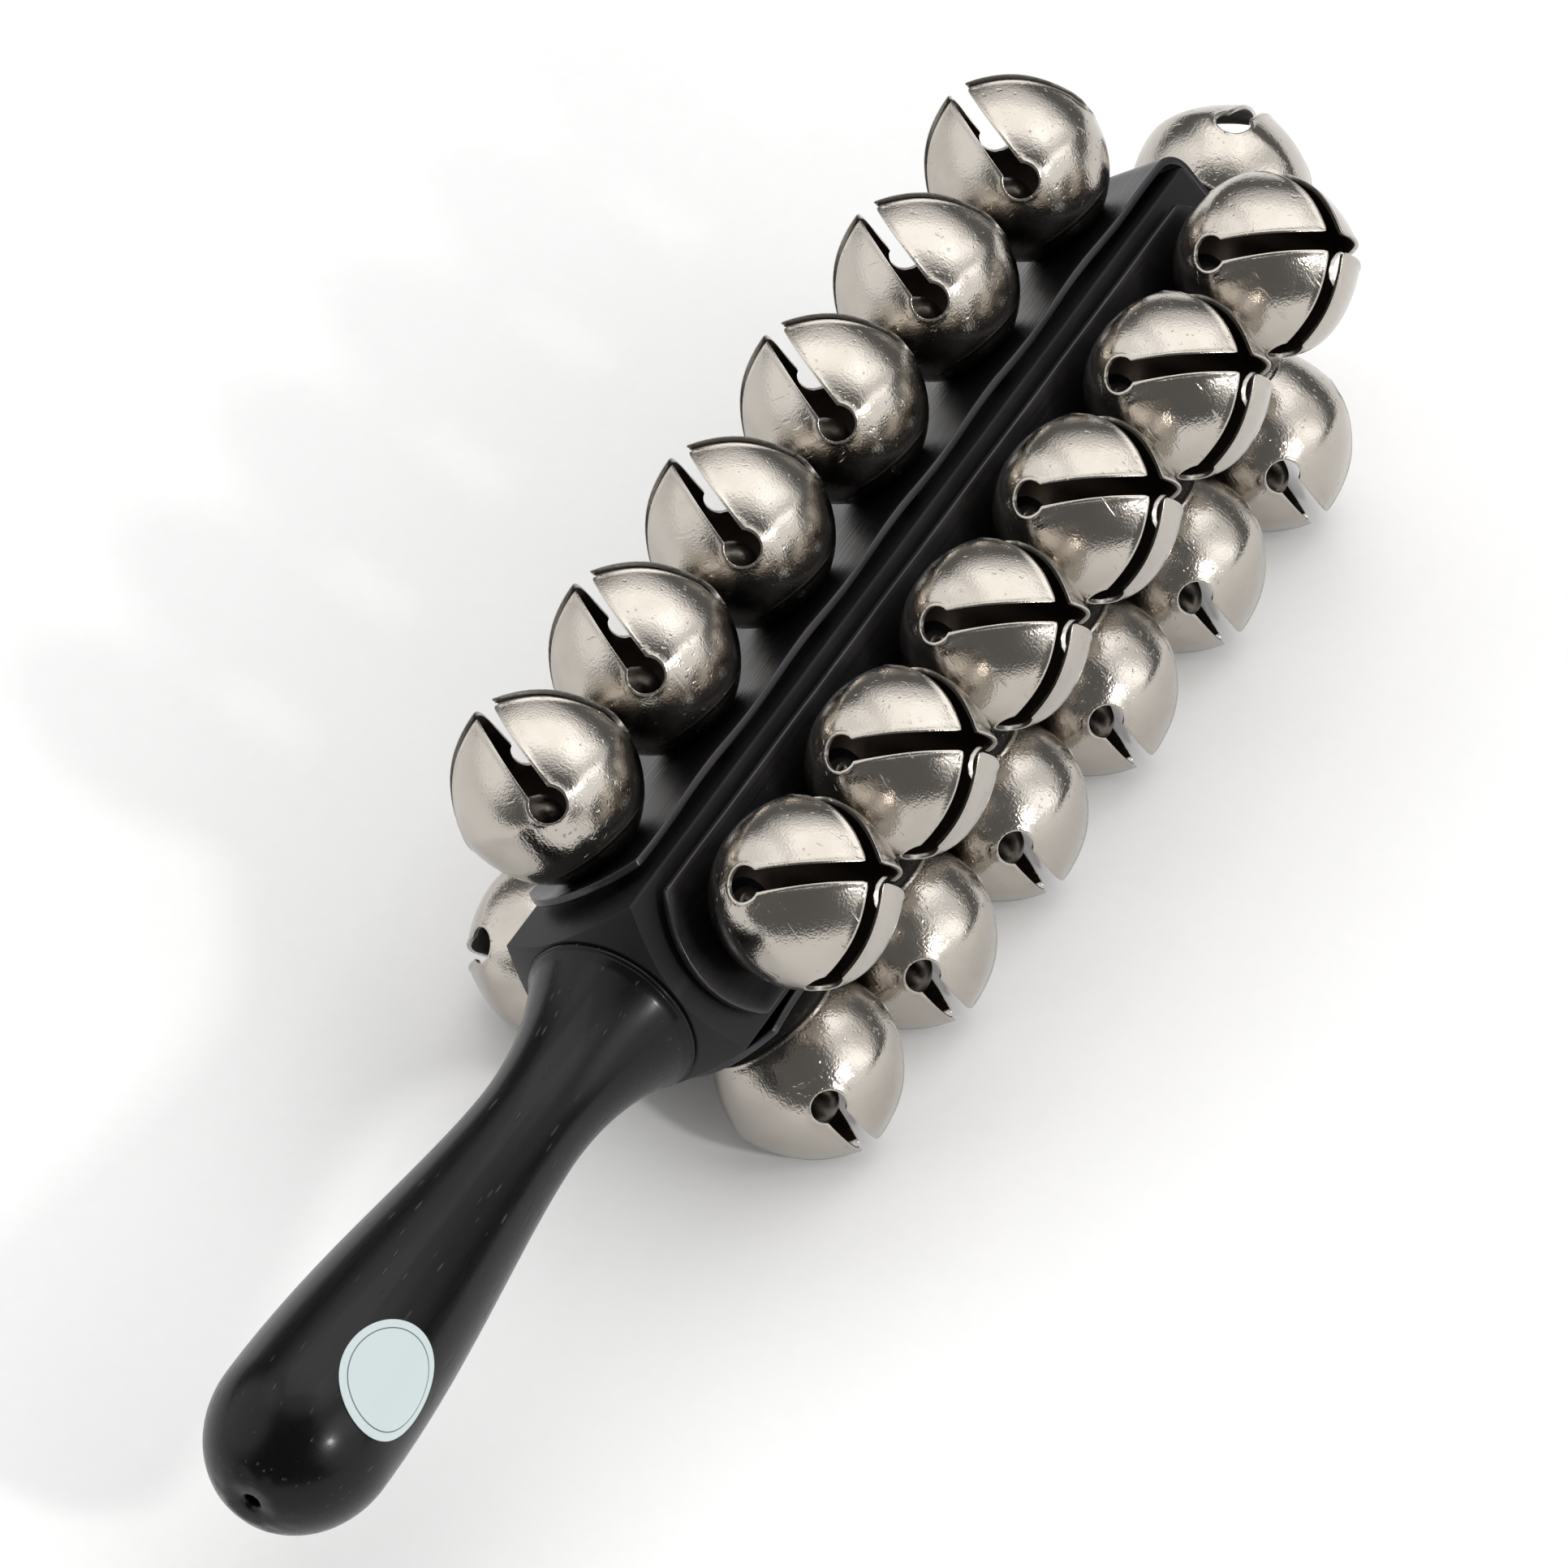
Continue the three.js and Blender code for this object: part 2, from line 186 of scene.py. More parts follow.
def nickel_plated_drawn_steel(look):
    """Nickel plate on deep drawn steel, tumbled after pressing.

    The plate gives a warm, slightly soft mirror. Drawing leaves fine lines along each petal, pressing leaves
    a faint orange peel that sparkles at the edge of a reflection, and tumbling leaves hair scratches.
    """
    material = new_material("nickel_plated_drawn_steel")
    own = add(material, "Attribute", attribute_name="own").outputs["Vector"]
    rim = add(material, "Attribute", attribute_name="rim").outputs["Fac"]
    chance = add(material, "ObjectInfo").outputs["Random"]
    seed = add(material, "Math", {0: chance, 1: 37.0}, operation="MULTIPLY")
    # Draw lines run from the seat to the tips, and tumbling scratches run any way.
    drawn_way = add(material, "Mapping", {"Vector": own, "Scale": (1, 1, 1 / 22)})
    tilted = {"Rotation": (0.5, 0.7, 0.9), "Scale": (1.0, 0.08, 1.0)}
    scratch_way = add(material, "Mapping", {"Vector": own, **tilted})
    # Orange peel is about 0.1 mm across, drawn at 0.35 mm so that it shows. Draw lines are hair fine, drawn
    # 0.4 mm apart and 9 mm long.
    cloud, peel, lines, scratch = (
        add(
            material,
            "TexNoise",
            {"Vector": way, "W": seed, "Scale": grains(across), "Detail": detail},
            noise_dimensions="4D",
        )
        for way, across, detail in ((own, 7, 3), (own, 0.35, 2), (drawn_way, 0.4, 2), (scratch_way, 0.8, 1))
    )
    # Each scratch is a thin crease of its noise.
    hair = add(material, "MapRange", {"Value": scratch, "From Min": 0.66, "From Max": 0.74})
    # The pull of drawing shows most below the widest circle, where the dome was stretched.
    height = add(material, "SeparateXYZ", {0: own}).outputs["Z"]
    fall = {"From Min": -13 * MM, "From Max": 5 * MM, "To Min": 1.0, "To Max": 0.25}
    drawn = add(material, "MapRange", {"Value": height, **fall})
    pull = add(material, "Math", {0: lines, 1: drawn}, operation="MULTIPLY")
    # The last draw left a faint crease where the dome turns down to the seat.
    past = add(material, "Math", {0: height, 1: 10.4 * MM}, operation="ADD")
    away = add(material, "Math", {0: past}, operation="ABSOLUTE")
    near = {"Value": away, "From Min": 0.5 * MM, "From Max": 0.0}
    crease = add(material, "MapRange", near, interpolation_type="SMOOTHSTEP")
    bump = add(material, "Bump", {"Height": pull, "Strength": look.draw_lines, "Distance": 0.06 * MM})
    for mark, strength, depth, sunk in (
        (crease, 0.7, 0.12, False),
        (peel, look.orange_peel, 0.07, False),
        (hair, 0.8, 0.05, True),
    ):
        relief = {"Height": mark, "Strength": strength, "Distance": depth * MM, "Normal": bump}
        bump = add(material, "Bump", relief, invert=sunk)
    soft = {"From Min": 0.35, "From Max": 0.68, "To Min": 0.1, "To Max": 0.2}
    rough = add(material, "MapRange", {"Value": cloud, **soft})
    for mark, rougher in ((hair, 0.12), (rim, 0.1)):
        rough = add(material, "Math", {0: mark, 1: rougher, 2: rough}, operation="MULTIPLY_ADD")
    tarnish = {"From Min": 0.45, "From Max": 0.75, "To Min": 0.0, "To Max": 0.35}
    stain = add(material, "MapRange", {"Value": cloud, **tarnish})
    tint = stain, (*look.nickel, 1), (*look.nickel_shade, 1)
    return finished(material, tint, {"Metallic": 1.0, "Roughness": rough, "Normal": bump})


def dull_inner_plate(look):
    """The inside of a bell, where plate hardly reaches: thin dark grey-brown nickel that stays dull."""
    material = new_material("dull_inner_plate")
    own = add(material, "Attribute", attribute_name="own").outputs["Vector"]
    patches = add(material, "TexNoise", {"Vector": own, "Scale": grains(3), "Detail": 4.0})
    grit = add(material, "TexNoise", {"Vector": own, "Scale": grains(0.4), "Detail": 2.0})
    bump = add(material, "Bump", {"Height": grit, "Strength": 0.4, "Distance": 0.05 * MM})
    tint = patches, (*look.inside, 1), (*linear("#2a211c"), 1)
    return finished(material, tint, {"Metallic": 0.8, "Normal": bump}, haze=(patches, 0.45, 0.65))


def polished_cut_edge(look):
    """The sheared edge of the sheet, painted near white as a painted highlight, with fine shear marks."""
    material = new_material("polished_cut_edge")
    own = add(material, "Attribute", attribute_name="own").outputs["Vector"]
    shear = add(material, "TexNoise", {"Vector": own, "Scale": grains(0.5), "Detail": 3.0})
    bump = add(material, "Bump", {"Height": shear, "Strength": 0.5, "Distance": 0.06 * MM})
    # Near white, mottled with plain nickel by the shear marks: a painted highlight on the cut edge.
    tint = shear, (*look.cut_edge_highlight_colour, 1), (*look.nickel, 1)
    return finished(material, tint, {"Metallic": 1.0, "Normal": bump}, haze=(shear, 0.28, 0.45))


def zinc_plated_screw_steel(look):
    """Cold headed screw steel with thin zinc plate: a duller and less warm grey than the bells."""
    material = new_material("zinc_plated_screw_steel")
    own = add(material, "TexCoord").outputs["Object"]
    rings = add(
        material,
        "TexWave",
        {"Vector": own, "Scale": grains(4.5), "Distortion": 1.5, "Detail": 2.0},
        wave_type="RINGS",
        rings_direction="Z",
    ).outputs["Fac"]
    grime = add(material, "TexNoise", {"Vector": own, "Scale": grains(1.2), "Detail": 3.0})
    bump = add(material, "Bump", {"Height": rings, "Strength": 0.3, "Distance": 0.03 * MM})
    tint = grime, (*look.screw, 1), (*linear("#5d5a56"), 1)
    return finished(material, tint, {"Metallic": 1.0, "Normal": bump}, haze=(grime, 0.25, 0.5))


def tumbled_steel(look):
    """Bare steel shot, tumbled smooth and lightly tarnished: a dull grey sheen with small pits."""
    material = new_material("tumbled_steel")
    own = add(material, "TexCoord").outputs["Object"]
    spots = add(material, "TexVoronoi", {"Vector": own, "Scale": grains(1.1)})
    pit = add(material, "MapRange", {"Value": spots, "From Min": 0.0, "From Max": 0.35})
    haze = add(material, "TexNoise", {"Vector": own, "Scale": grains(2.5), "Detail": 4.0})
    bump = add(material, "Bump", {"Height": pit, "Strength": 0.35, "Distance": 0.08 * MM})
    tint = haze, (*look.pellet, 1), (*linear("#4a443e"), 1)
    return finished(material, tint, {"Metallic": 1.0, "Normal": bump}, haze=(haze, 0.28, 0.5))


def black_lacquered_brushed_steel(look):
    """Mild steel strip, brushed along its length and lacquered black.

    The brushing still shows through the thin lacquer as long fine streaks, which draw a highlight out across
    the strip. Its edges and ends are painted a lighter grey: a painted highlight.
    """
    material = new_material("black_lacquered_brushed_steel")
    own = add(material, "TexCoord").outputs["Object"]
    rim = add(material, "Attribute", attribute_name="rim").outputs["Fac"]
    brushed_way = add(material, "Mapping", {"Vector": own, "Scale": (1 / 70, 1, 1)})
    # Brush lines are about 0.05 mm apart, drawn at 0.45 mm so that they show.
    fine = {"Scale": grains(0.45), "Detail": 3.0, "Roughness": 0.6}
    brush = add(material, "TexNoise", {"Vector": brushed_way, **fine})
    long_way = add(material, "Mapping", {"Vector": own, "Scale": (1 / 4, 1, 1)})
    cloud = add(material, "TexNoise", {"Vector": long_way, "Scale": grains(9), "Detail": 3.0})
    bump = add(material, "Bump", {"Height": brush, "Strength": look.brushing, "Distance": 0.09 * MM})
    # The strip's colour turns a lighter grey along its edges and ends: a painted highlight.
    edge_highlight_band = add(material, "Math", {0: rim, 1: brush}, operation="MULTIPLY")
    lacquer = {"Factor": edge_highlight_band, "A": (*look.strip, 1), "B": (*look.strip_edge_highlight, 1)}
    tint = brush, add(material, "Mix", lacquer, data_type="RGBA"), (*linear("#030303"), 1)
    return finished(material, tint, {"Metallic": 0.75, "Normal": bump}, haze=(cloud, 0.2, 0.34))


def black_painted_block_wood(look):
    """Planed hardwood under flat black paint: almost no shine, a fine paint grain and a hint of pores."""
    material = new_material("black_painted_block_wood")
    own = add(material, "TexCoord").outputs["Object"]
    along_grain = add(material, "Mapping", {"Vector": own, "Scale": (1 / 14, 1, 1)})
    speck = add(material, "TexNoise", {"Vector": own, "Scale": grains(0.4), "Detail": 2.0})
    pores = add(material, "TexNoise", {"Vector": along_grain, "Scale": grains(0.6), "Detail": 2.0})
    bump = add(material, "Bump", {"Height": pores, "Strength": 0.35, "Distance": 0.08 * MM})
    bump = add(material, "Bump", {"Height": speck, "Strength": 0.2, "Distance": 0.05 * MM, "Normal": bump})
    tint = speck, (*look.block, 1), (*linear("#131314"), 1)
    return finished(material, tint, {"Roughness": 0.5, "Specular IOR Level": 0.3, "Normal": bump})


def black_stained_turned_wood(look):
    """Open pored hardwood, turned, stained black and finished with a thin satin lacquer.

    The lacquer sinks into the pores, which stay open as short pits along the grain. Their lips catch the
    light, and the pores are painted a pale grey as a painted highlight. Sanding leaves fine rings round the
    handle.
    """
    material = new_material("black_stained_turned_wood")
    own = add(material, "TexCoord").outputs["Object"]
    # How far each pattern is drawn out. The grain runs along the piece's own Z.
    pore_way, band_way, fibre_way, ring_way = (
        add(material, "Mapping", {"Vector": own, "Scale": tuple(1 / s for s in stretch)})
        for stretch in ((1, 1, 7), (1, 1, 6), (1, 1, 30), (12, 12, 1))
    )
    # Pores are 0.1 mm wide and 2 mm long, drawn 0.3 mm wide.
    cells = add(material, "TexVoronoi", {"Vector": pore_way, "Scale": grains(1.3)})
    open_pore = add(material, "MapRange", {"Value": cells, "From Min": 0.17, "From Max": 0.09})
    # Pores gather in bands, as the growth rings cross the surface. Sanding rings are finer than can be seen,
    # drawn 0.6 mm apart.
    band, fibre, ring = (
        add(material, "TexNoise", {"Vector": way, "Scale": grains(across), "Detail": 2.0})
        for way, across in ((band_way, 5), (fibre_way, 0.5), (ring_way, 0.6))
    )
    gathered = add(material, "MapRange", {"Value": band, "From Min": 0.4, "From Max": 0.6})
    pit = add(material, "Math", {0: open_pore, 1: gathered}, operation="MULTIPLY")
    bump = add(material, "Bump", {"Height": pit, "Strength": look.pores, "Distance": 0.25 * MM}, invert=True)
    for mark in (fibre, ring):
        bump = add(material, "Bump", {"Height": mark, "Strength": 0.1, "Distance": 0.04 * MM, "Normal": bump})
    satin = {"From Min": 0.3, "From Max": 0.7, "To Min": 0.24, "To Max": 0.32}
    rough = add(material, "MapRange", {"Value": fibre, **satin})
    rough = add(material, "Math", {0: pit, 1: 0.3, 2: rough}, operation="MULTIPLY_ADD")
    # The pores are painted a pale grey: a painted highlight.
    tint = pit, (*look.handle, 1), (*linear("#3b3a38"), 1)
    lacquer = {"IOR": 1.5, "Specular IOR Level": 0.16, "Coat Weight": 0.14, "Coat Roughness": 0.13}
    return finished(material, tint, {**lacquer, "Roughness": rough, "Normal": bump})


def printed_vinyl_label(look):
    """Printed vinyl film stuck on the lacquer: a flat pale satin with a faint emboss of the wood under it."""
    material = new_material("printed_vinyl_label")
    own = add(material, "TexCoord").outputs["Object"]
    rim = add(material, "Attribute", attribute_name="rim").outputs["Fac"]
    emboss = add(material, "TexNoise", {"Vector": own, "Scale": grains(0.9), "Detail": 3.0})
    bump = add(material, "Bump", {"Height": emboss, "Strength": 0.12, "Distance": 0.05 * MM})
    # A plain thin line is printed just inside the edge, where the rim value has fallen from 1 to a half.
    line = add(material, "Math", {0: rim, 1: 0.5, 2: 0.055}, operation="COMPARE")
    tint = line, (*look.label, 1), (*linear("#5f6668"), 1)
    return finished(material, tint, {"IOR": 1.5, "Normal": bump}, haze=(emboss, 0.38, 0.5))


def white_painted_board(look):
    """Board rolled with flat white paint: no shine and a faint roller stipple."""
    material = new_material("white_painted_board")
    own = add(material, "TexCoord").outputs["Object"]
    stipple = add(material, "TexNoise", {"Vector": own, "Scale": grains(3), "Detail": 2.0})
    bump = add(material, "Bump", {"Height": stipple, "Strength": 0.05, "Distance": 0.1 * MM})
    tint = stipple, (*look.floor, 1), (*linear("#fafafa"), 1)
    return finished(material, tint, {"Roughness": 0.85, "Normal": bump})


# ---- Mesh building ----


def patch(rows, closed=False):
    """Vertices and quads of a skin through rows of points. A closed skin joins each row to its own start."""
    width = len(rows[0])
    vertices = [tuple(point) for row in rows for point in row]
    faces = []
    for r in range(len(rows) - 1):
        for c in range(width if closed else width - 1):
            n = (c + 1) % width
            faces.append((r * width + c, r * width + n, (r + 1) * width + n, (r + 1) * width + c))
    return vertices, faces


def circle(radius, height, steps):
    """Points on a circle round Z."""
    turns = [2 * math.pi * i / steps for i in range(steps)]
    return [(radius * math.cos(a), radius * math.sin(a), height) for a in turns]


def turned(outline, steps):
    """A closed skin turned about Z from (radius, height) points."""
    return patch([circle(r, z, steps) for r, z in outline], closed=True)


def new_piece(name, vertices, faces, material, rim=None):
    """A mesh object. The optional rim values, one a vertex, are 1 at an exposed edge and 0 well inside."""
    mesh = bpy.data.meshes.new(name)
    mesh.from_pydata(vertices, [], faces)
    mesh.update()
    if rim is not None:
        mesh.attributes.new("rim", "FLOAT", "POINT").data.foreach_set("value", rim)
    mesh.materials.append(material)
    piece = bpy.data.objects.new(name, mesh)
    bpy.context.scene.collection.objects.link(piece)
    return piece


def shape(piece, *modifiers):
    """Runs modifiers, each a type and its settings, into the piece's mesh and shades it smooth."""
    for kind, settings in modifiers:
        modifier = piece.modifiers.new(kind.title(), kind)
        for name, value in settings.items():
            setattr(modifier, name, value)
    view = bpy.context.evaluated_depsgraph_get()
    made = bpy.data.meshes.new_from_object(
        piece.evaluated_get(view), preserve_all_data_layers=True, depsgraph=view
    )
    made.name = piece.data.name
    piece.modifiers.clear()
    piece.data = made
    made.shade_smooth()
    return piece


def turned_to(piece, out, name):
    """A copy whose mesh is turned to face out. Its coordinates before that stay on it for the material."""
    mesh = piece.data.copy()
    mesh.name = name
    own = mesh.attributes.new("own", "FLOAT_VECTOR", "POINT")
    own.data.foreach_set("vector", [c for v in mesh.vertices for c in v.co])
    mesh.transform(upright(out))
    twin = bpy.data.objects.new(name, mesh)
    bpy.context.scene.collection.objects.link(twin)
    return twin


MERGE = ("WELD", {"merge_threshold": 0.002 * MM})


def eased(width, segments=2, angle=35, material=-1):
    """A bevel that eases every edge sharper than the angle, in the given material slot."""
    return (
        "BEVEL",
        {
            "width": width,
            "segments": segments,
            "limit_method": "ANGLE",
            "angle_limit": math.radians(angle),
            "harden_normals": False,
            "use_clamp_overlap": True,
            "material": material,
        },
    )


def copy_of(piece, name):
    """Another object on the same mesh."""
    twin = bpy.data.objects.new(name, piece.data)
    bpy.context.scene.collection.objects.link(twin)
    return twin


def blend(a, b, t):
    return a + (b - a) * t


def smooth(t):
    t = min(1.0, max(0.0, t))
    return t * t * (3 - 2 * t)


# ---- Settings ----


def length(name, description, default):
    return FloatProperty(
        name=name, description=description, default=default, min=0, unit="LENGTH", precision=5
    )


def amount(name, description, default, low=0.0, high=1.0, **kind):
    return FloatProperty(name=name, description=description, default=default, min=low, max=high, **kind)


def angle(name, description, degrees):
    return amount(name, description, math.radians(degrees), -math.pi, math.pi, subtype="ANGLE")


def colour(name, description, hex_colour):
    return FloatVectorProperty(
        name=name, description=description, default=linear(hex_colour), min=0, max=1, size=3, subtype="COLOR"
    )


class SleighBellFinishes(PropertyGroup):
    """Colours and strengths of the finishes."""

    nickel: colour("Nickel", "Bright nickel plate of the bells", "#b6b0a8")
    nickel_shade: colour("Nickel shade", "Slightly tarnished nickel plate", "#978e83")
    inside: colour("Inside", "Dull plate inside the bells", "#4a3f38")
    # Near white: a painted highlight on the bells' cut edges.
    cut_edge_highlight_colour: colour("Cut edge", "Polished edge of the bells' sheet", "#f4f0ea")
    screw: colour("Screw", "Zinc plate of the screws", "#a6a39e")
    pellet: colour("Pellet", "Steel of the pellets", "#8d857c")
    strip: colour("Strip", "Black lacquer of the strips", "#2c2c2f")
    # A lighter grey along the strips' edges and ends: a painted highlight.
    strip_edge_highlight: colour("Worn strip", "Lacquer rubbed thin at the strips' edges", "#77757a")
    block: colour("Block", "Flat black paint of the head", "#0c0c0d")
    handle: colour("Handle", "Black stain of the handle", "#060607")
    label: colour("Label", "Film of the label", "#c0cccd")
    floor: colour("Floor", "Paint of the floor", "#ffffff")
    draw_lines: amount("Draw lines", "How much the bells' draw lines show", 0.9)
    orange_peel: amount("Orange peel", "How much the bells' orange peel shows", 0.6)
    brushing: amount("Brushing", "How much the strips' brush lines show", 0.5)
    pores: amount("Pores", "How deep the wood's pores look", 0.9)


class SleighBellBell(PropertyGroup):
    """Sizes of one bell."""

    diameter: length("Diameter", "Across the widest circle", size("bell_row1_1").x)
    sheet: length("Sheet", "Thickness of the steel sheet", 0.7 * MM)
    petal_height: length("Petal height", "From the widest circle to the petal tips", 13.4 * MM)
    dome_depth: length("Dome depth", "From the widest circle to the strip", 15.3 * MM)
    tip_radius: length("Tip radius", "How far the petal tips stop from the bell's axis", 2.2 * MM)
    petal_curve: amount("Petal curve", "2 is an ellipse, and nearer 1 is closer to a cone", 1.5, 1.05, 2.5)
    seat_radius: length("Seat radius", "Flat under the dome", 3.6 * MM)
    keyhole: length("Keyhole", "Diameter of the round end of each slot", 5.3 * MM)
    keyhole_rise: length("Keyhole rise", "Height of their centres above the widest circle", 0.8 * MM)
    slot_start: length("Slot at keyhole", "Width of a slot where it leaves the keyhole", 3.2 * MM)
    slot_end: length("Slot at tips", "Width of a slot at the petal tips", 2.8 * MM)
    petal_flatness: amount("Petal flatness", "How flat the petals are across at their tips", 0.7)
    edge: length("Edge", "How far the sheet's cut edges are rounded", 0.2 * MM)
    edge_bead: length("Edge bead", "Height of the raised bead along the sheet's edges", 0.12 * MM)


class SleighBellHandle(PropertyGroup):
    """Sizes of the handle and its label."""

    flare: length("Flare", "Diameter where the handle meets the head", 27 * MM)
    neck: length("Neck", "Smallest diameter", 16.3 * MM)
    bulb: length("Bulb", "Largest diameter of the grip", size("handle").y)
    neck_at: amount("Neck at", "Share of the length from the head to the neck", 0.235, 0.05, 0.5)
    bulb_at: amount("Bulb at", "Share of the length from the head to the bulb", 0.855, 0.5, 0.95)
    butt_flat: length("Butt flat", "Diameter of the flat at the end", 8 * MM)
    centre_hole: length("Centre hole", "Diameter of the lathe's centre hole", 2 * MM)
    centre_depth: length("Centre depth", "Depth of the lathe's centre hole", 6 * MM)
    label_length: length("Label length", "Along the handle", 19 * MM)
    label_width: length("Label width", "Across the handle", 15.5 * MM)
    label_thickness: length("Label thickness", "Of the film", 0.2 * MM)


class SleighBellHead(PropertyGroup):
    """Sizes of the head block and the strips."""

    strip_thickness: length("Strip thickness", "Of each strip", 1.2 * MM)
    strip_width: length("Strip width", "Across each strip", 24 * MM)
    end_bulge: length("End bulge", "Height of the arc at a strip's end", 5.5 * MM)
    bend_radius: length("Bend radius", "Outer radius where the long strip turns over the end", 3.4 * MM)
    wave: length("Wave", "How far a strip's edges lift between the screws", 0.22 * MM)
    spring: length("Spring", "How far the long strip's ends stand up off the block", 0.9 * MM)
    cone: length("Cone", "How far the turned near end reaches past the near corners", 3.7 * MM)
    arris: length("Arris", "How far the block's edges are eased", 0.35 * MM)


class SleighBellScrew(PropertyGroup):
    """Sizes of a screw and a pellet."""

    head: length("Head", "Diameter of the pan head", 7 * MM)
    head_height: length("Head height", "Height of the pan head", 2 * MM)
    shank: length("Shank", "Diameter over the thread", 3.5 * MM)
    depth: length("Depth", "Length below the bell's seat", 11 * MM)
    thread_pitch: length("Thread pitch", "Distance between turns of the thread", 1.3 * MM)
    recess: length("Recess", "Across the crossed recess", 4 * MM)


class SleighBellStage(PropertyGroup):
    """Camera and light."""

    azimuth: angle("Azimuth", "Of the camera, where 0 looks along +Y", -63.93)
    elevation: angle("Elevation", "Of the camera, above the floor", 48.18)
    roll: angle("Roll", "Of the camera, about its own axis", 3.27)
    distance: length("Distance", "From the camera to the middle of the object", 1.795)
    focal: amount("Focal length", "On a 36 mm wide sensor, in millimetres", 285.8, 1, 1000)
    overhead_power: amount("Overhead light", "Power of the overhead softbox", 4, 0, 1000, unit="POWER")
    front_power: amount("Front light", "Power of the small front lamp", 7, 0, 1000, unit="POWER")
    room_light: amount("Room light", "Strength of the light from all round", 0.17, 0, 100)
    floor_size: length("Floor size", "Across the floor", 6.0)


class SleighBellSettings(PropertyGroup):
    """Everything a user would change."""

    finish: PointerProperty(type=SleighBellFinishes)
    bell: PointerProperty(type=SleighBellBell)
    handle: PointerProperty(type=SleighBellHandle)
    head: PointerProperty(type=SleighBellHead)
    screw: PointerProperty(type=SleighBellScrew)
    stage: PointerProperty(type=SleighBellStage)


# ---- Shapes of the pieces ----


# Distances from a slot's edge at which the skin has points, so that the bead along the edge comes out round.
EDGE_BANDS = [0.0, 0.14 * MM, 0.28 * MM, 0.42 * MM, 0.56 * MM, 1.2 * MM]
SCREW_HOLE = 2.1 * MM  # radius of the hole under the dome
TENON = 6 * MM  # radius of the handle's end, glued into the head


def bell_outline(bell):
    """The shell's outline from the screw hole to the tips, then its keyholes' first row and count of rows.

    The outline is (radius, height) points, with the widest circle at 0. The dome is a quarter ellipse. Each
    petal is a quarter superellipse, so that it is straighter towards its tip. The points lie close together
    round the keyholes, so that the holes come out round.
    """
    radius = bell.diameter / 2
    seat_angle = math.asin(bell.seat_radius / radius)
    power = bell.petal_curve
    tip = (bell.tip_radius / radius) ** power
    rise = bell.petal_height / (1 - tip) ** (1 / power)

    def at(height):
        """Radius of the shell at a height."""
        if height < 0:
            return radius * math.sqrt(max(0, 1 - (height / bell.dome_depth * math.cos(seat_angle)) ** 2))
        return radius * max(0, 1 - (height / rise) ** power) ** (1 / power)

    hole = bell.keyhole / 2
    seat = [(r, -bell.dome_depth) for r in (SCREW_HOLE, 2.9 * MM, bell.seat_radius)]
    dome = []
    low = bell.keyhole_rise - hole
    steps = 10
    low_angle = math.acos(min(1, (EDGE_BANDS[-1] - low) / bell.dome_depth * math.cos(seat_angle)))
    for i in range(1, steps + 1):
        a = blend(seat_angle, low_angle, i / steps)
        dome.append((radius * math.sin(a), -bell.dome_depth * math.cos(a) / math.cos(seat_angle)))
    for band in reversed(EDGE_BANDS[:-1]):
        dome.append((at(low - band), low - band))
    mouth = math.pi - math.asin(bell.slot_start / 2 / hole)
    heights = [bell.keyhole_rise - hole * math.cos(mouth * i / steps) for i in range(1, steps + 1)]
    around = [(at(z), z) for z in heights]
    petal = []
    share_low = (at(heights[-1]) / radius) ** power
    petal_steps = 16
    for i in range(1, petal_steps + 1):
        share = blend(share_low, tip, math.sin(i / petal_steps * math.pi / 2))
        petal.append((radius * share ** (1 / power), rise * (1 - share) ** (1 / power)))
    return seat + dome + around + petal, len(seat) + len(dome) - 1, len(around)


